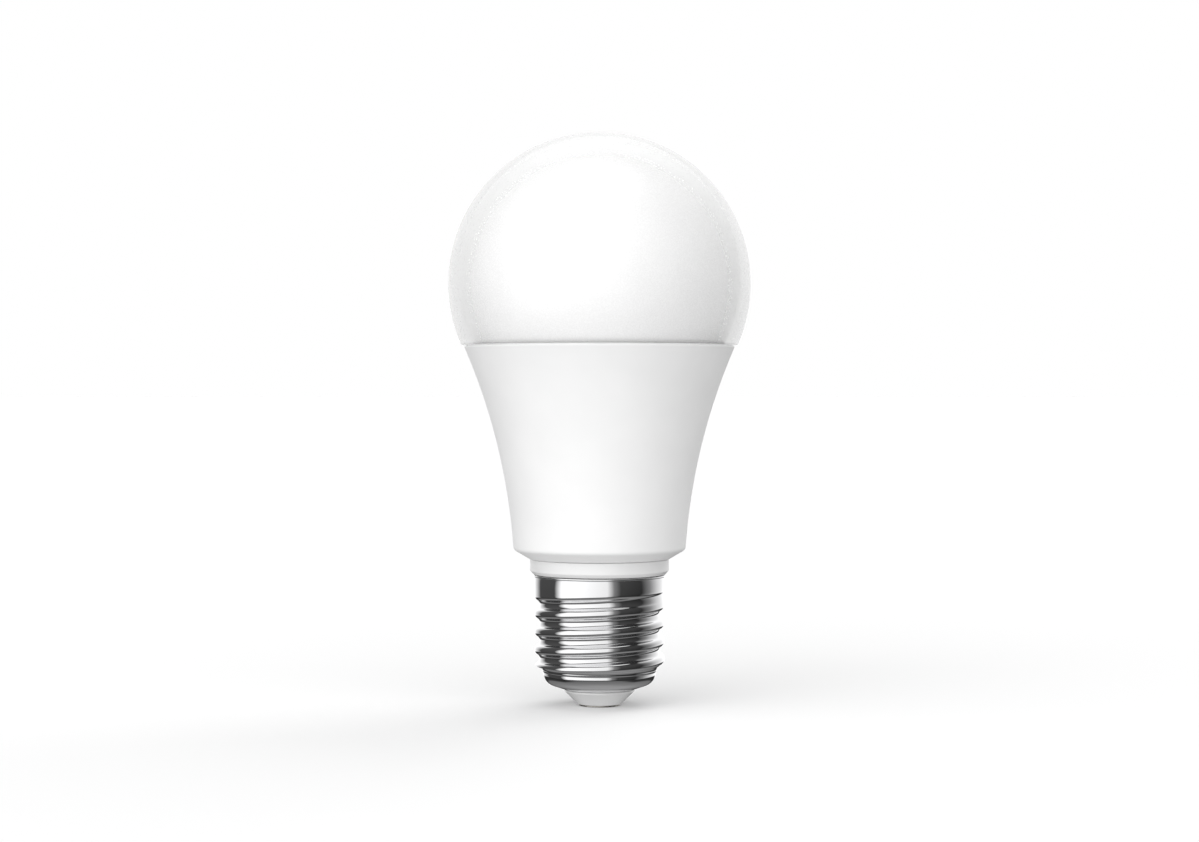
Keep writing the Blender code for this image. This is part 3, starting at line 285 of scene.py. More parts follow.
def mirrored_studio(tree, axes):
    """What gloss and metal mirror: softboxes and flags, the ground and a ceiling panel."""
    front = add_node(
        tree, "ShaderNodeMath", {"operation": "MULTIPLY"}, {1: -1.0}, {0: axes.outputs["Y"]}
    )
    azimuth = add_node(
        tree,
        "ShaderNodeMath",
        {"operation": "ARCTAN2"},
        links={0: axes.outputs["X"], 1: front.outputs[0]},
    )
    turn = add_node(
        tree,
        "ShaderNodeMapRange",
        values={"From Min": -math.pi, "From Max": math.pi},
        links={"Value": azimuth.outputs[0]},
    )
    walls = add_node(tree, "ShaderNodeValToRGB", links={"Fac": turn.outputs["Result"]})
    set_stops(walls, [((deg + 180) / 360, grey(level)) for deg, level in studio_walls()])
    rise = add_node(
        tree, "ShaderNodeMapRange", values={"From Min": -1.0}, links={"Value": axes.outputs["Z"]}
    )
    behind = add_node(
        tree, "ShaderNodeMath", {"operation": "MAXIMUM"}, {1: 0.0}, {0: axes.outputs["Y"]}
    )
    stand = add_node(
        tree,
        "ShaderNodeMath",
        {"operation": "MULTIPLY_ADD"},
        {1: -BACK_WALL_RAISE},
        {0: behind.outputs[0], 2: rise.outputs["Result"]},
    )
    # The front walls stand from about 30 degrees under the horizon to 46 degrees over it,
    # and the back wall from about 10 degrees under it to 61 degrees over it
    band = add_node(tree, "ShaderNodeValToRGB", links={"Fac": stand.outputs[0]})
    set_stops(
        band, [(0.24, grey(0.0)), (0.27, grey(1.0)), (0.86, grey(1.0)), (0.88, grey(0.0))]
    )
    # Beyond a dark gap comes grey ground below them and an overhead panel above them
    ends = add_node(tree, "ShaderNodeValToRGB", links={"Fac": stand.outputs[0]})
    set_stops(
        ends,
        [
            (0.0, grey(0.32)),
            (0.07, grey(0.22)),
            (0.17, grey(0.16)),
            (0.20, grey(0.04)),
            (0.27, grey(0.0)),
            (0.93, grey(0.03)),
            (0.95, grey(1.0)),
        ],
    )
    shaped = add_node(
        tree,
        "ShaderNodeVectorMath",
        {"operation": "MULTIPLY"},
        links={0: walls.outputs["Color"], 1: band.outputs["Color"]},
    )
    return add_node(
        tree,
        "ShaderNodeVectorMath",
        {"operation": "ADD"},
        links={0: shaped.outputs[0], 1: ends.outputs["Color"]},
    )


def facing(tree, direction, axis, share):
    """Light that is strongest along an axis and fades to nothing at right angles to it."""
    along = add_node(
        tree,
        "ShaderNodeVectorMath",
        {"operation": "DOT_PRODUCT"},
        {1: axis},
        {0: direction},
    )
    ahead = add_node(
        tree, "ShaderNodeMath", {"operation": "MAXIMUM"}, {1: 0.0}, {0: along.outputs["Value"]}
    )
    return add_node(
        tree, "ShaderNodeMath", {"operation": "MULTIPLY"}, {1: share}, {0: ahead.outputs[0]}
    )


def toward(azimuth_deg, height_deg):
    """A direction: azimuth 0 is in front and 90 to the right, and height is over level."""
    azimuth = math.radians(azimuth_deg)
    height = math.radians(height_deg)
    level = math.cos(height)
    return Vector((level * math.sin(azimuth), -level * math.cos(azimuth), math.sin(height)))


def add_world():
    """White to the camera, soft light from the front left and above, and a studio to mirror."""
    world = bpy.data.worlds.new("studio")
    bpy.context.scene.world = world
    world.use_nodes = True
    tree = world.node_tree
    tree.nodes.clear()
    direction = add_node(tree, "ShaderNodeTexCoord").outputs["Generated"]
    axes = add_node(tree, "ShaderNodeSeparateXYZ", links={0: direction})
    mirrored = mirrored_studio(tree, axes)
    studio = add_node(
        tree,
        "ShaderNodeBackground",
        values={"Strength": MIRRORED_LEVEL},
        links={"Color": mirrored.outputs[0]},
    )
    key = facing(tree, direction, toward(*KEY_PLACE), KEY_LIGHT)
    above = facing(tree, direction, (0.0, 0.0, 1.0), OVERHEAD_LIGHT)
    both = add_node(
        tree,
        "ShaderNodeMath",
        {"operation": "ADD"},
        links={0: key.outputs[0], 1: above.outputs[0]},
    )
    level = add_node(
        tree, "ShaderNodeMath", {"operation": "ADD"}, {1: FILL_LIGHT}, {0: both.outputs[0]}
    )
    soft = add_node(tree, "ShaderNodeBackground", links={"Strength": level.outputs[0]})
    soft.inputs["Color"].default_value = grey(1.0)
    path = add_node(tree, "ShaderNodeLightPath")
    seen = add_node(
        tree,
        "ShaderNodeMixShader",
        links={0: path.outputs["Is Glossy Ray"], 1: soft.outputs[0], 2: studio.outputs[0]},
    )
    plain = add_node(tree, "ShaderNodeBackground", values={"Color": grey(1.0)})
    mixed = add_node(
        tree,
        "ShaderNodeMixShader",
        links={0: path.outputs["Is Camera Ray"], 1: seen.outputs[0], 2: plain.outputs[0]},
    )
    add_node(tree, "ShaderNodeOutputWorld", links={"Surface": mixed.outputs[0]})


def add_soft_light(name, azimuth_deg, height_deg, spread_deg, strength):
    """A distant softbox: it lights and casts shadows, and its glare is kept off."""
    data = bpy.data.lights.new(name, "SUN")
    data.angle = math.radians(spread_deg)
    data.energy = strength
    light = bpy.data.objects.new(name, data)
    light.rotation_euler = (-toward(azimuth_deg, height_deg)).to_track_quat("-Z", "Y").to_euler()
    light.visible_glossy = False
    bpy.context.scene.collection.objects.link(light)


def add_studio():
    """A pale floor that runs out past the view, and the distant softboxes.

    The floor shows and takes shadows. It isn't mirrored, and throws and blocks no light.
    """
    bpy.ops.object.select_all(action="DESELECT")
    bpy.ops.mesh.primitive_circle_add(
        vertices=64, radius=FLOOR_RADIUS, fill_type="NGON", location=(0.0, 0.0, FLOOR_Z)
    )
    floor = bpy.context.object
    floor.name = "studio_floor"
    material = bpy.data.materials.new("matt_paper")
    material.use_nodes = True
    shader = material.node_tree.nodes["Principled BSDF"]
    shader.inputs["Base Color"].default_value = srgb("f7f7f7")
    shader.inputs["Roughness"].default_value = 1.0
    shader.inputs["Specular IOR Level"].default_value = 0.0
    floor.data.materials.append(material)
    floor.visible_glossy = False
    floor.visible_diffuse = False
    floor.visible_shadow = False
    for softbox in SOFTBOXES:
        add_soft_light(*softbox)
    bpy.context.scene.view_settings.view_transform = "Standard"


# ---- Outlines -----------------------------------------------------------------------


def arc(centre_r, centre_z, radius, start_deg, end_deg, steps):
    """Points on an arc, as (radius, height)."""
    points = []
    for i in range(steps + 1):
        angle = math.radians(start_deg + (end_deg - start_deg) * i / steps)
        points.append((centre_r + radius * math.cos(angle), centre_z + radius * math.sin(angle)))
    return points


def rounded(before, corner, after, radius, steps=6):
    """Points on the arc that replaces the corner between two straight runs."""
    corner = Vector(corner)
    back = (Vector(before) - corner).normalized()
    ahead = (Vector(after) - corner).normalized()
    half = back.angle(ahead) / 2
    centre = corner + (back + ahead).normalized() * (radius / math.sin(half))
    first = corner + back * (radius / math.tan(half)) - centre
    last = corner + ahead * (radius / math.tan(half)) - centre
    turn = first.angle(last)
    points = []
    for i in range(steps + 1):
        share = i / steps
        a = math.sin((1 - share) * turn) / math.sin(turn)
        b = math.sin(share * turn) / math.sin(turn)
        points.append(tuple(centre + first * a + last * b))
    return points


def smooth_step(low, high, value):
    """0 below low, 1 above high, and a smooth rise between them."""
    share = min(max((value - low) / (high - low), 0.0), 1.0)
    return share * share * (3 - 2 * share)


def flank_radius(z):
    """Outer radius of the housing at a height, on its hollow arc."""
    rise = HOUSING_RIM_Z - BASE_Z
    spread = RIM_RADIUS - BASE_RADIUS
    chord = math.hypot(rise, spread)
    stand = math.sqrt(FLANK_ARC**2 - (chord / 2) ** 2)
    centre_r = (BASE_RADIUS + RIM_RADIUS) / 2 + stand * rise / chord
    centre_z = (BASE_Z + HOUSING_RIM_Z) / 2 - stand * spread / chord
    return centre_r - math.sqrt(FLANK_ARC**2 - (z - centre_z) ** 2)


# ---- Shaping ------------------------------------------------------------------------


def start_ring(name, point, facets):
    """A new piece's first ring, at a point (radius, height), selected in edit mode."""
    bpy.ops.object.select_all(action="DESELECT")
    radius, height = point
    bpy.ops.mesh.primitive_circle_add(vertices=facets, radius=radius, location=(0, 0, height))
    piece = bpy.context.object
    piece.name = name
    piece.data.name = name
    bpy.ops.object.transform_apply(location=True, rotation=False, scale=False)
    bpy.ops.object.mode_set(mode="EDIT")
    bpy.ops.mesh.select_all(action="SELECT")
    return piece


def extrude_rings(points):
    """Extrudes and scales the selected ring from the first point to each that follows."""
    radius, height = points[0]
    for r, z in points[1:]:
        bpy.ops.mesh.extrude_edges_move(TRANSFORM_OT_translate={"value": (0, 0, z - height)})
        scale = r / radius
        bpy.ops.transform.resize(value=(scale, scale, 1.0), center_override=(0, 0, z))
        radius, height = r, z


def merge_rings():
    """Merges rings that meet, turns the faces outwards and leaves edit mode."""
    bpy.ops.mesh.select_all(action="SELECT")
    bpy.ops.mesh.remove_doubles(threshold=MERGE_GAP)
    bpy.ops.mesh.normals_make_consistent(inside=False)
    bpy.ops.object.mode_set(mode="OBJECT")


def turned(name, outline, facets=FINE_RING, closed=True):
    """A solid of rings from point to point of an outline, (radius, height).

    A closed outline comes back to its first ring. An open one starts and ends in a pole.
    """
    points = list(outline)
    if closed:
        points.append(points[0])
    piece = start_ring(name, points[0], facets)
    if not closed:
        bpy.ops.mesh.edge_face_add()
        bpy.ops.mesh.poke()
        radius, height = points[0]
        select_ring(piece, height, radius)
    extrude_rings(points)
    if not closed:
        bpy.ops.mesh.edge_face_add()
        bpy.ops.mesh.poke()
    merge_rings()
    bpy.ops.object.shade_smooth_by_angle(angle=TURNED_SMOOTH)
    return piece


def open_tube(name, outline):
    """A tube of rings through the points of an outline, open at both its ends."""
    piece = start_ring(name, outline[0], FINE_RING)
    extrude_rings(outline)
    merge_rings()
    return piece


def select_ring(piece, height, radius):
    """Leaves only the edges of one outer ring selected, in edit mode."""
    bpy.ops.mesh.select_all(action="DESELECT")
    bpy.ops.mesh.select_mode(type="EDGE")
    bpy.ops.object.mode_set(mode="OBJECT")
    near = radius * 0.9
    for edge in piece.data.edges:
        ends = [piece.data.vertices[i].co for i in edge.vertices]
        edge.select = all(math.hypot(v.x, v.y) > near and abs(v.z - height) < 1e-7 for v in ends)
    bpy.ops.object.mode_set(mode="EDIT")


def finish_piece(piece, material, slot, *nodes):
    """Gives a piece its material and its body, and hides the nodes that it stands for. Its slot
    is not used.
    """
    piece.data.materials.clear()
    piece.data.materials.append(material)
    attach(piece, "root")
    if nodes:
        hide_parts(*nodes)


# ---- Pieces -------------------------------------------------------------------------


def diffuser_wall(material):
    """Clear outer wall of the dome, its edge rounded over the rim, with its skirt."""
    turn_z = GLOBE_EDGE_Z + GLOBE_EDGE_ROUND
    edge_deg = math.degrees(math.asin((turn_z - GLOBE_CENTRE_Z) / GLOBE_RADIUS))
    outer = arc(0.0, GLOBE_CENTRE_Z, GLOBE_RADIUS, POLE_DEG, edge_deg, 60)
    edge_r = outer[-1][0] - GLOBE_EDGE_ROUND
    outer += arc(edge_r, turn_z, GLOBE_EDGE_ROUND, 0, -90, 6)[1:]
    outer += [(SKIRT_RADIUS, GLOBE_EDGE_Z), (SKIRT_RADIUS, GLOBE_LOW_Z)]
    outer += [(SKIRT_RADIUS - SKIRT_WALL, GLOBE_LOW_Z)]
    inner_end = math.degrees(math.asin((GLOBE_EDGE_Z - INNER_CENTRE_Z) / INNER_RADIUS))
    inner = arc(0.0, INNER_CENTRE_Z, INNER_RADIUS, inner_end, POLE_DEG, 56)
    outer += [(SKIRT_RADIUS - SKIRT_WALL, GLOBE_EDGE_Z - SKIRT_LEDGE)]
    piece = turned("diffuser_wall", outer + inner, closed=False)
    finish_piece(piece, material, "opal_diffuser", "diffuser_globe")


def diffuser_coat(material):
    """White diffusing layer, moulded a little way into the inside of the wall."""
    radius = INNER_RADIUS + COAT_BITE
    edge_z = GLOBE_EDGE_Z + COAT_EDGE_GAP
    low = math.degrees(math.asin((edge_z - INNER_CENTRE_Z) / radius))
    outer = arc(0.0, INNER_CENTRE_Z, radius, POLE_DEG, low, 56)
    inner = arc(0.0, INNER_CENTRE_Z, radius - COAT_THICKNESS, low, POLE_DEG, 40)
    piece = turned("diffuser_coat", outer + inner, closed=False)
    finish_piece(piece, material, "opal_diffuser", "diffuser_globe")


def housing(material):
    """Flared shell with a rounded rim, a rounded base corner and a chamfer.

    A rebate behind the rim closes the seam, so that no light comes through it.
    """
    chamfer_foot = (COLLAR_RADIUS + CHAMFER_FOOT_STEP, HOUSING_LOW_Z)
    corner = (BASE_RADIUS, BASE_Z)
    top = RIM_Z - RIM_ROUND
    low = BASE_Z + BASE_ROUND
    outer = []
    for i in range(FLANK_ROWS + 1):
        z = top + (low - top) * i / FLANK_ROWS
        outer.append((flank_radius(min(z, HOUSING_RIM_Z)), z))
    rim_r = outer[0][0]
    outer = arc(rim_r - RIM_ROUND, top, RIM_ROUND, 90, 0, 5)[:-1] + outer
    outer += rounded(outer[-1], corner, chamfer_foot, BASE_ROUND, 8)
    hole = (NECK_RADIUS, HOUSING_LOW_Z)
    outer += rounded(outer[-1], chamfer_foot, hole, CHAMFER_FOOT_ROUND, 3)
    outer += [(NECK_RADIUS + NECK_GAP, HOUSING_LOW_Z)]
    floor_z = HOUSING_LOW_Z + HOUSING_WALL
    inner = [(NECK_RADIUS + NECK_GAP, floor_z), (HOUSING_FLOOR_RADIUS, floor_z)]
    inner_height = RIM_Z - BASE_Z - INNER_FLANK_RISE
    for i in range(INNER_FLANK_ROWS + 1):
        z = BASE_Z + INNER_FLANK_RISE + inner_height * i / INNER_FLANK_ROWS
        inner.append((flank_radius(min(z, HOUSING_RIM_Z)) - HOUSING_WALL, z))
    rebate_r = rim_r - REBATE_INSET
    rebate_z = GLOBE_EDGE_Z - REBATE_GAP
    inner += [(inner[-1][0], rebate_z), (rebate_r, rebate_z), (rebate_r, RIM_Z)]
    piece = turned("housing", outer + inner)
    finish_piece(piece, material, "white_housing", "housing_shell")


def collar(material):
    """Insulating collar: a flange with a tapered foot, a spigot, and a neck with a snap lip.

    The neck's slots and the notch for a lead at the spigot's end are hidden and left out.
    """
    rim = (COLLAR_RADIUS, COLLAR_TOP_Z)
    taper = (COLLAR_RADIUS, COLLAR_LOW_Z + COLLAR_TAPER)
    foot = (COLLAR_RADIUS - COLLAR_TAPER_STEP, COLLAR_LOW_Z)
    snap_r = NECK_RADIUS + SNAP_REACH
    outer = [(BORE_RADIUS, NECK_TOP_Z), (NECK_RADIUS - NECK_LEAD_IN, NECK_TOP_Z)]
    outer += [(snap_r, SNAP_LOW_Z + SNAP_EDGE), (snap_r, SNAP_LOW_Z)]
    outer += [(NECK_RADIUS, SNAP_LOW_Z), (NECK_RADIUS, COLLAR_TOP_Z)]
    outer += rounded(outer[-1], rim, taper, COLLAR_RIM_ROUND, 4)
    outer += rounded(rim, taper, foot, COLLAR_TAPER_ROUND, 4)
    outer += rounded(taper, foot, (SPIGOT_RADIUS, COLLAR_LOW_Z), COLLAR_FOOT_ROUND, 3)
    outer += [(SPIGOT_RADIUS, COLLAR_LOW_Z), (SPIGOT_RADIUS, SPIGOT_LOW_Z)]
    outer += [(BORE_RADIUS, SPIGOT_LOW_Z)]
    piece = turned("collar", outer)
    finish_piece(piece, material, "white_collar", "neck_collar")


def thread_radius(angle, z):
    """Outer radius of the rolled thread at an angle round the axis and a height.

    Crest and root are arcs of one radius that meet on the flank. The top groove runs out
    into the plain band over half a turn, and the foot blends into the cup.
    """
    half_pitch = THREAD_PITCH / 2
    arc_radius = (half_pitch**2 + THREAD_DEPTH**2) / (4 * THREAD_DEPTH)
    crest_z = FIRST_CREST_Z + THREAD_PITCH * angle / (2 * math.pi)
    from_crest = (z - crest_z) % THREAD_PITCH
    groove_z = z - from_crest + half_pitch
    offset = min(from_crest, THREAD_PITCH - from_crest)
    if offset <= half_pitch / 2:
        fall = arc_radius - math.sqrt(arc_radius**2 - offset**2)
    else:
        from_root = half_pitch - offset
        fall = THREAD_DEPTH - arc_radius + math.sqrt(arc_radius**2 - from_root**2)
    run_out = smooth_step(THREAD_HEAD_Z - half_pitch, THREAD_HEAD_Z, groove_z)
    radius = THREAD_RADIUS - fall * (1 - run_out)
    blend = smooth_step(THREAD_BLEND_LOW_Z, THREAD_BLEND_TOP_Z, z)
    return ring_radius(z) + (radius - ring_radius(z)) * blend


def ring_radius(z):
    """Radius over the cup's flared top and the two shallow beads that are rolled in it."""
    radius = CUP_RADIUS + CUP_FLARE * max(z - CUP_TOP_Z - 0.1 * MM, 0.0)
    for rise in BEAD_RISES:
        share = (z - CUP_TOP_Z - rise) / BEAD_HALF_WIDTH
        if abs(share) < 1:
            radius += BEAD_HEIGHT * math.sqrt(1 - share**2)
    return radius


def screw_shell(material):
    """Thin rolled shell: rings turned to the cup, beads and band, then a thread.

    The thread climbs round the axis, which extruded rings can't, so their vertices are
    moved out to it. The wall is then given its thickness inwards.
    """
    mouth = (MOUTH_RADIUS, CAP_LOW_Z)
    corner = (CUP_RADIUS - CUP_CORNER_STEP, CAP_LOW_Z + CUP_CORNER_RISE)
    side = (CUP_RADIUS, CUP_TOP_Z)
    foot = (CUP_RADIUS, CUP_TOP_Z - CUP_FOOT_DROP)
    head = THREAD_HEAD_Z + THREAD_PITCH / 4
    outer = arc(LIP_RADIUS - LIP_ROUND, CAP_TOP_Z - LIP_ROUND, LIP_ROUND, 90, -50, 8)
    outer += [(THREAD_RADIUS - BAND_EDGE, CAP_TOP_Z - BAND_EDGE_DROP)]
    outer += [(THREAD_RADIUS, CAP_TOP_Z - BAND_TOP_DROP)]
    for i in range(THREAD_ROWS):
        outer.append((THREAD_RADIUS, head + (CUP_TOP_Z - head) * i / THREAD_ROWS))
    outer += [side]
    outer += rounded(side, foot, corner, CUP_FOOT_ROUND, 6)
    outer += rounded(foot, corner, mouth, CUP_CORNER_ROUND, 16)
    outer += [mouth]
    piece = open_tube("screw_shell", outer)
    for vertex in piece.data.vertices:
        x, y, z = vertex.co
        if CUP_TOP_Z - 1e-6 < z < head + 1e-6:
            scale = thread_radius(math.atan2(y, x), z) / math.hypot(x, y)
            vertex.co = (x * scale, y * scale, z)
    wall = piece.modifiers.new("wall", "SOLIDIFY")
    wall.thickness = SHELL_WALL
    wall.offset = -1.0
    bpy.ops.object.modifier_apply(modifier=wall.name)
    bpy.ops.object.shade_smooth_by_angle(angle=ROLLED_SMOOTH)
    finish_piece(piece, material, "nickel_plate", "screw_cap_shell")


def insulator(material):
    """Moulded cone with a narrow band under the shell and a rounded tip."""
    band_top = CAP_LOW_Z - INSULATOR_BAND_GAP
    band_low = band_top - INSULATOR_BAND_HEIGHT
    cone_top = (INSULATOR_BAND_RADIUS - INSULATOR_CONE_STEP, band_low - INSULATOR_BAND_EDGE)
    tip = (INSULATOR_TIP_RADIUS - INSULATOR_TIP_STEP, INSULATOR_LOW_Z)
    bore = STEM_RADIUS + STEM_GAP
    neck = MOUTH_RADIUS - INSULATOR_NECK_GAP
    outer = [(bore, INSULATOR_TOP_Z), (INSULATOR_FLANGE_RADIUS, INSULATOR_TOP_Z)]
    outer += [(INSULATOR_FLANGE_RADIUS, INSULATOR_FLANGE_Z), (neck, INSULATOR_FLANGE_Z)]
    outer += [(neck, band_top), (INSULATOR_BAND_RADIUS - INSULATOR_BAND_EDGE, band_top)]
    outer += [(INSULATOR_BAND_RADIUS, band_top - INSULATOR_BAND_EDGE)]
    outer += [(INSULATOR_BAND_RADIUS, band_low), cone_top]
    outer += rounded(cone_top, tip, (bore, INSULATOR_LOW_Z), INSULATOR_TIP_ROUND, 8)
    outer += [(bore, INSULATOR_LOW_Z)]
    piece = turned("insulator", outer, SMALL_RING)
    finish_piece(piece, material, "grey_insulator", "cap_insulator")


def contact(material):
    """Tip contact with a rounded edge, a faint dished underside and its stem."""
    top = INSULATOR_LOW_Z - CONTACT_GAP
    outer = [(STEM_TIP_RADIUS, STEM_TOP_Z), (STEM_RADIUS, STEM_TOP_Z - STEM_TIP_DROP)]
    outer += [(STEM_RADIUS, top)]
    outer += [(CONTACT_RADIUS - CONTACT_EDGE, top)]
    edge_r = CONTACT_RADIUS - CONTACT_EDGE
    outer += arc(edge_r, top - CONTACT_EDGE, CONTACT_EDGE, 90, 0, 4)[1:]
    outer += arc(edge_r, CONTACT_EDGE, CONTACT_EDGE, 0, -90, 4)
    outer += CONTACT_DISH
    piece = turned("contact", outer, SMALL_RING, closed=False)
    finish_piece(piece, material, "contact_plate", "centre_contact")


# ---- Materials ----------------------------------------------------------------------


def start_material(name, **values):
    """A new material with values set on its shader's sockets."""
    material = bpy.data.materials.new(name)
    material.use_nodes = True
    shader = material.node_tree.nodes["Principled BSDF"]
    for key, value in values.items():
        shader.inputs[key.replace("_", " ")].default_value = value
    return material, material.node_tree, shader


def surface(name, colours, roughness, grain, bump, stretch=(1.0, 1.0, 1.0), **values):
    """A material with a slowly drifting colour, and a fine grain in its gloss and height.

    The two colours and two roughnesses are the ends of their range, grain is the size of
    one grain and bump its height, and stretch draws the grain out along an axis.
    """
    material, tree, shader = start_material(name, **values)
    coords = add_node(tree, "ShaderNodeTexCoord")
    spread = add_node(
        tree, "ShaderNodeMapping", values={"Scale": stretch}, links={0: coords.outputs["Object"]}
    )
    fine = add_node(
        tree,
        "ShaderNodeTexNoise",
        values={"Scale": 1 / grain, "Detail": 4.0},
        links={"Vector": spread.outputs[0]},
    )
    drift = add_node(
        tree,
        "ShaderNodeTexNoise",
        values={"Scale": 1 / (DRIFT_GRAINS * grain), "Detail": 2.0},
        links={"Vector": coords.outputs["Object"]},
    )
    tone = add_node(tree, "ShaderNodeValToRGB", links={"Fac": drift.outputs["Fac"]})
    set_stops(tone, [(0.3, srgb(colours[0])), (0.7, srgb(colours[1]))])
    gloss = add_node(
        tree,
        "ShaderNodeMapRange",
        values={
            "From Min": 0.3,
            "From Max": 0.7,
            "To Min": roughness[0],
            "To Max": roughness[1],
        },
        links={"Value": fine.outputs["Fac"]},
    )
    raised = add_node(
        tree,
        "ShaderNodeBump",
        values={"Strength": 1.0, "Distance": bump},
        links={"Height": fine.outputs["Fac"]},
    )
    tree.links.new(tone.outputs["Color"], shader.inputs["Base Color"])
    tree.links.new(gloss.outputs["Result"], shader.inputs["Roughness"])
    tree.links.new(raised.outputs["Normal"], shader.inputs["Normal"])
    return material


def clear_wall():
    """Clear polycarbonate: a skin that thickens to a grey band where it is seen edge-on."""
    material = surface(
        "clear_moulded_polycarbonate",
        ("e6e6e6", "e9e9e9"),
        (0.26, 0.32),
        0.35 * MM,
        0.0003 * MM,
        IOR=1.58,
    )
    tree = material.node_tree
    facing_away = add_node(tree, "ShaderNodeLayerWeight", values={"Blend": 0.5})
    haze = add_node(
        tree,
        "ShaderNodeMapRange",
        {"interpolation_type": "SMOOTHSTEP"},
        {
            "From Min": HAZE_FACING[0],
            "From Max": HAZE_FACING[1],
            "To Min": HAZE_OPACITY[0],
            "To Max": HAZE_OPACITY[1],
        },
        {"Value": facing_away.outputs["Facing"]},
    )
    shader = tree.nodes["Principled BSDF"]
    tree.links.new(haze.outputs["Result"], shader.inputs["Alpha"])
    return material


def visible_finishes():
    """The materials of the six pieces that show."""
    return {
        # Clear polycarbonate: a satin skin that shows as a grey band along the dome's edge
        "wall": clear_wall(),
        # Opal coating: a satin white that light soaks into, so the dome has no hard shade
        "coat": surface(
            "opal_diffusing_coat",
            ("fcfcfc", "fefefe"),
            (0.24, 0.30),
            0.25 * MM,
            0.0005 * MM,
            IOR=1.60,
            Subsurface_Weight=1.0,
            Subsurface_Radius=(1.0, 1.0, 1.0),
            Subsurface_Scale=0.4 * MM,
        ),
        # Polybutylene housing: satin white with the fine spark grain of its mould
        "housing": surface(
            "satin_moulded_polybutylene",
            ("ebebeb", "eeeeee"),
            (0.50, 0.58),
            0.22 * MM,
            0.0012 * MM,
            IOR=1.54,
        ),
        # Polycarbonate collar: smoother than the housing, so its edge is a little brighter
        "collar": surface(
            "smooth_moulded_polycarbonate",
            ("e2e2e2", "e6e6e6"),
            (0.30, 0.36),
            0.20 * MM,
            0.0006 * MM,
            IOR=1.58,
        ),
        # Bright nickel on brass: a hard mirror, faintly drawn round by the rolling
        "shell": surface(
            "bright_nickel_on_rolled_brass",
            ("e4e4e5", "e8e8e9"),
            (0.03, 0.06),
            0.30 * MM,
            0.0003 * MM,
            (0.25, 0.25, 1.0),
            Metallic=1.0,
        ),
        # Urea insulator: grey and semi-gloss, with a soft light rim on its rounded tip
        "insulator": surface(
            "semi_gloss_urea_resin",
            ("d4d4d4", "d9d9d9"),
            (0.22, 0.28),
            0.15 * MM,
            0.0004 * MM,
            IOR=1.60,
        ),
        # Nickel contact: duller than the shell, with the scuffs of its press
        "contact": surface(
            "pressed_nickel_brass_contact",
            ("a9a6a0", "b3b0aa"),
            (0.22, 0.36),
            0.20 * MM,
            0.0010 * MM,
            Metallic=1.0,
        ),
    }


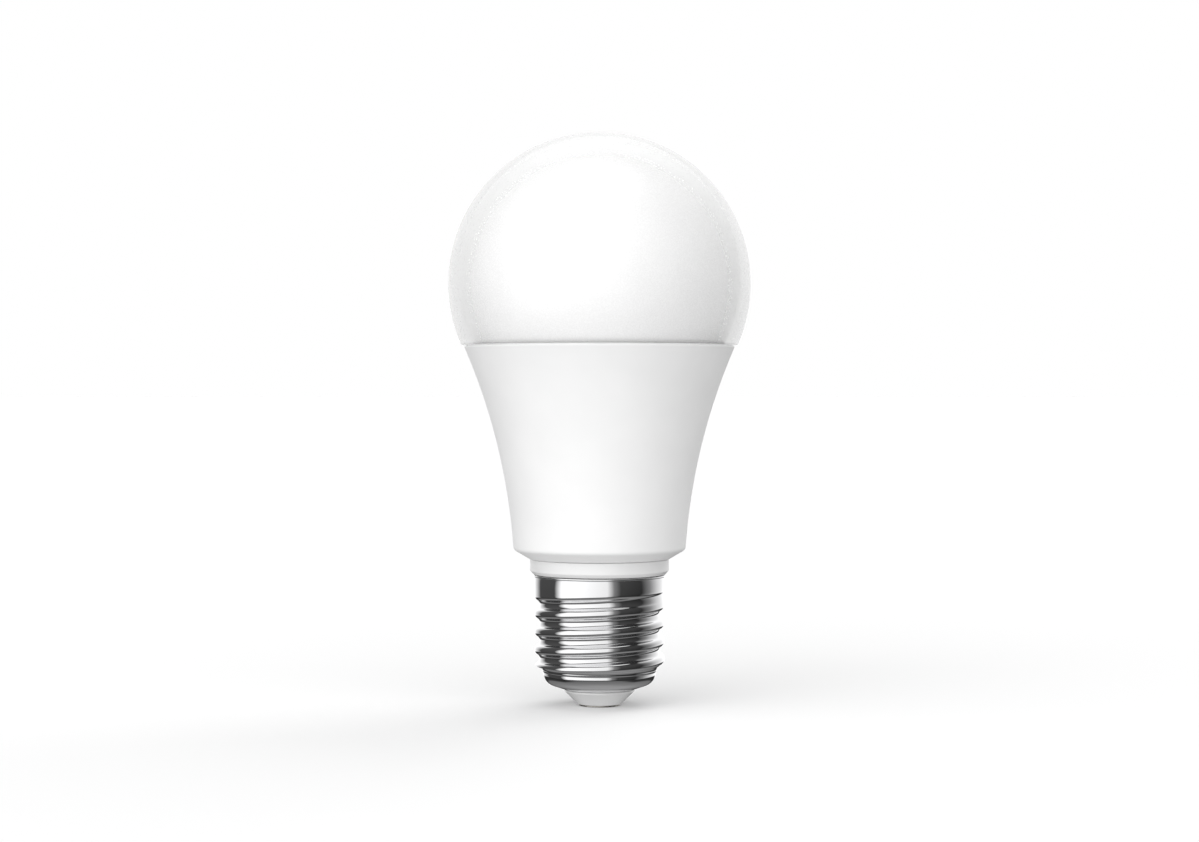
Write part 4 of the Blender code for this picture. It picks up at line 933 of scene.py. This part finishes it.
def inner_finishes():
    """Materials of the sealed pieces, each with the nodes that it goes on."""
    leds = range(1, 9)
    return (
        # Drawn aluminium: dull grey, with the marks of drawing along the axis
        (
            surface("drawn_aluminium", ("c2c4c6", "cdcfd1"), (0.32, 0.48), 0.4 * MM,
                    0.002 * MM, (1.0, 1.0, 0.08), Metallic=1.0),
            ("heat_sink_cup", "heat_spreader"),
        ),
        # Polypropylene liner: milky and waxy
        (
            surface("milky_polypropylene", ("e9e8e2", "efeee9"), (0.42, 0.52), 0.5 * MM,
                    0.001 * MM, IOR=1.49),
            ("driver_liner",),
        ),
        # Silicone bead: off-white and rubbery, with a slow uneven gloss
        (
            surface("cured_silicone_bead", ("dededa", "e6e6e2"), (0.40, 0.60), 0.8 * MM,
                    0.010 * MM, IOR=1.41),
            ("diffuser_adhesive",),
        ),
        # Filled silicone pad: blue-grey and chalky
        (
            surface("filled_silicone_pad", ("8c9aa8", "98a5b2"), (0.65, 0.80), 0.2 * MM,
                    0.004 * MM, IOR=1.43),
            ("thermal_pad",),
        ),
        # White solder mask: smooth and faintly glossy
        (
            surface("white_solder_mask", ("eef0ee", "f4f5f3"), (0.32, 0.42), 0.3 * MM,
                    0.001 * MM, IOR=1.52),
            ("led_board",),
        ),
        # Warm phosphor in silicone: a deep orange-yellow with visible grains
        (
            surface("warm_phosphor_silicone", ("e9b155", "f3c06a"), (0.30, 0.42), 0.08 * MM,
                    0.004 * MM, IOR=1.41),
            tuple(f"warm_led_{i}" for i in leds),
        ),
        # Cool phosphor in silicone: a paler yellow with visible grains
        (
            surface("cool_phosphor_silicone", ("ece07a", "f5ea8e"), (0.30, 0.42), 0.08 * MM,
                    0.004 * MM, IOR=1.41),
            tuple(f"cool_led_{i}" for i in leds),
        ),
        # Zinc plated steel screws: pale, with a bluish uneven sheen
        (
            surface("zinc_plated_steel", ("b8bcc0", "cdd0d2"), (0.26, 0.40), 0.2 * MM,
                    0.003 * MM, Metallic=1.0),
            ("board_screw_1", "board_screw_2", "board_screw_3"),
        ),
        # Glass-epoxy boards: dark green mask with the weave's slow mottle under it
        (
            surface("green_glass_epoxy", ("1d5a2f", "2a7040"), (0.28, 0.40), 0.5 * MM,
                    0.002 * MM, (1.0, 1.0, 0.5), IOR=1.55),
            ("driver_board", "radio_board"),
        ),
        # Moulded epoxy: charcoal black with a matt mould grain
        (
            surface("moulded_black_epoxy", ("232425", "2e2f30"), (0.42, 0.58), 0.12 * MM,
                    0.004 * MM, IOR=1.55),
            ("bridge_rectifier", "driver_ic", "dimming_ic", "freewheel_diode", "radio_header"),
        ),
        # Shrunk vinyl sleeves: dark blue and shiny, drawn tight round the cans
        (
            surface("shrunk_vinyl_sleeve", ("263456", "303f66"), (0.20, 0.32), 0.6 * MM,
                    0.003 * MM, (1.0, 1.0, 0.3), IOR=1.53),
            ("bulk_capacitor", "output_capacitor"),
        ),
        # Flame-proof epoxy dip: ochre film capacitor, slightly orange-peeled
        (
            surface("dipped_film_capacitor", ("c98f35", "d69c40"), (0.28, 0.40), 0.6 * MM,
                    0.008 * MM, IOR=1.55),
            ("film_capacitor",),
        ),
        # Dipped varistor: bright blue epoxy with an orange-peel skin
        (
            surface("dipped_blue_varistor", ("2f62a8", "3b70b8"), (0.30, 0.44), 0.5 * MM,
                    0.010 * MM, IOR=1.55),
            ("surge_varistor",),
        ),
        # Lacquered resistor: chalky grey-green
        (
            surface("lacquered_resistor", ("8fae9f", "9cbaab"), (0.38, 0.52), 0.2 * MM,
                    0.004 * MM, IOR=1.50),
            ("fusible_resistor",),
        ),
        # Sintered ferrite: nearly black, with a faintly sparkling grain
        (
            surface("sintered_ferrite", ("3a3937", "4a4846"), (0.48, 0.68), 0.10 * MM,
                    0.006 * MM, IOR=2.2),
            ("choke_core", "transformer_core"),
        ),
        # Enamelled copper: warm brown-red turns, drawn as coarse as they need to show
        (
            surface("enamelled_copper_wire", ("b3622f", "c4733c"), (0.22, 0.36), 0.25 * MM,
                    0.020 * MM, (0.05, 0.05, 1.0), Metallic=1.0),
            ("choke_coil", "radio_antenna"),
        ),
        # Polyester tape: translucent yellow, with the layers' edges just visible
        (
            surface("polyester_winding_tape", ("dfb93a", "ead05c"), (0.22, 0.36), 0.3 * MM,
                    0.006 * MM, (0.1, 0.1, 1.0), IOR=1.64),
            ("transformer_winding",),
        ),
        # Tinned steel: bright, with the soft crystals of the tin
        (
            surface("tinned_steel_sheet", ("c9cac8", "d8d8d5"), (0.20, 0.38), 0.8 * MM,
                    0.003 * MM, Metallic=1.0),
            ("radio_shield_can", "led_feed_pins"),
        ),
        # Nylon connector: creamy and slightly waxy
        (
            surface("cream_nylon", ("e6e2d4", "eeeade"), (0.38, 0.48), 0.2 * MM,
                    0.002 * MM, IOR=1.53),
            ("led_socket",),
        ),
        # Silicone rubber insulation: matt red, faintly ribbed by its extrusion
        (
            surface("red_lead_insulation", ("a82a22", "b7362d"), (0.42, 0.56), 0.3 * MM,
                    0.006 * MM, (1.0, 1.0, 0.1), IOR=1.41),
            ("live_lead",),
        ),
        # The same insulation in black
        (
            surface("black_lead_insulation", ("242424", "303030"), (0.42, 0.56), 0.3 * MM,
                    0.006 * MM, (1.0, 1.0, 0.1), IOR=1.41),
            ("neutral_lead",),
        ),
    )


def finish_inner_nodes():
    """Gives each sealed node its material."""
    for material, nodes in inner_finishes():
        for name in nodes:
            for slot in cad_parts[name].material_slots:
                slot.material = material


# ---- Making -------------------------------------------------------------------------

add_camera()
add_world()
add_studio()

FINISHES = visible_finishes()
diffuser_wall(FINISHES["wall"])
diffuser_coat(FINISHES["coat"])
housing(FINISHES["housing"])
collar(FINISHES["collar"])
screw_shell(FINISHES["shell"])
insulator(FINISHES["insulator"])
contact(FINISHES["contact"])
finish_inner_nodes()
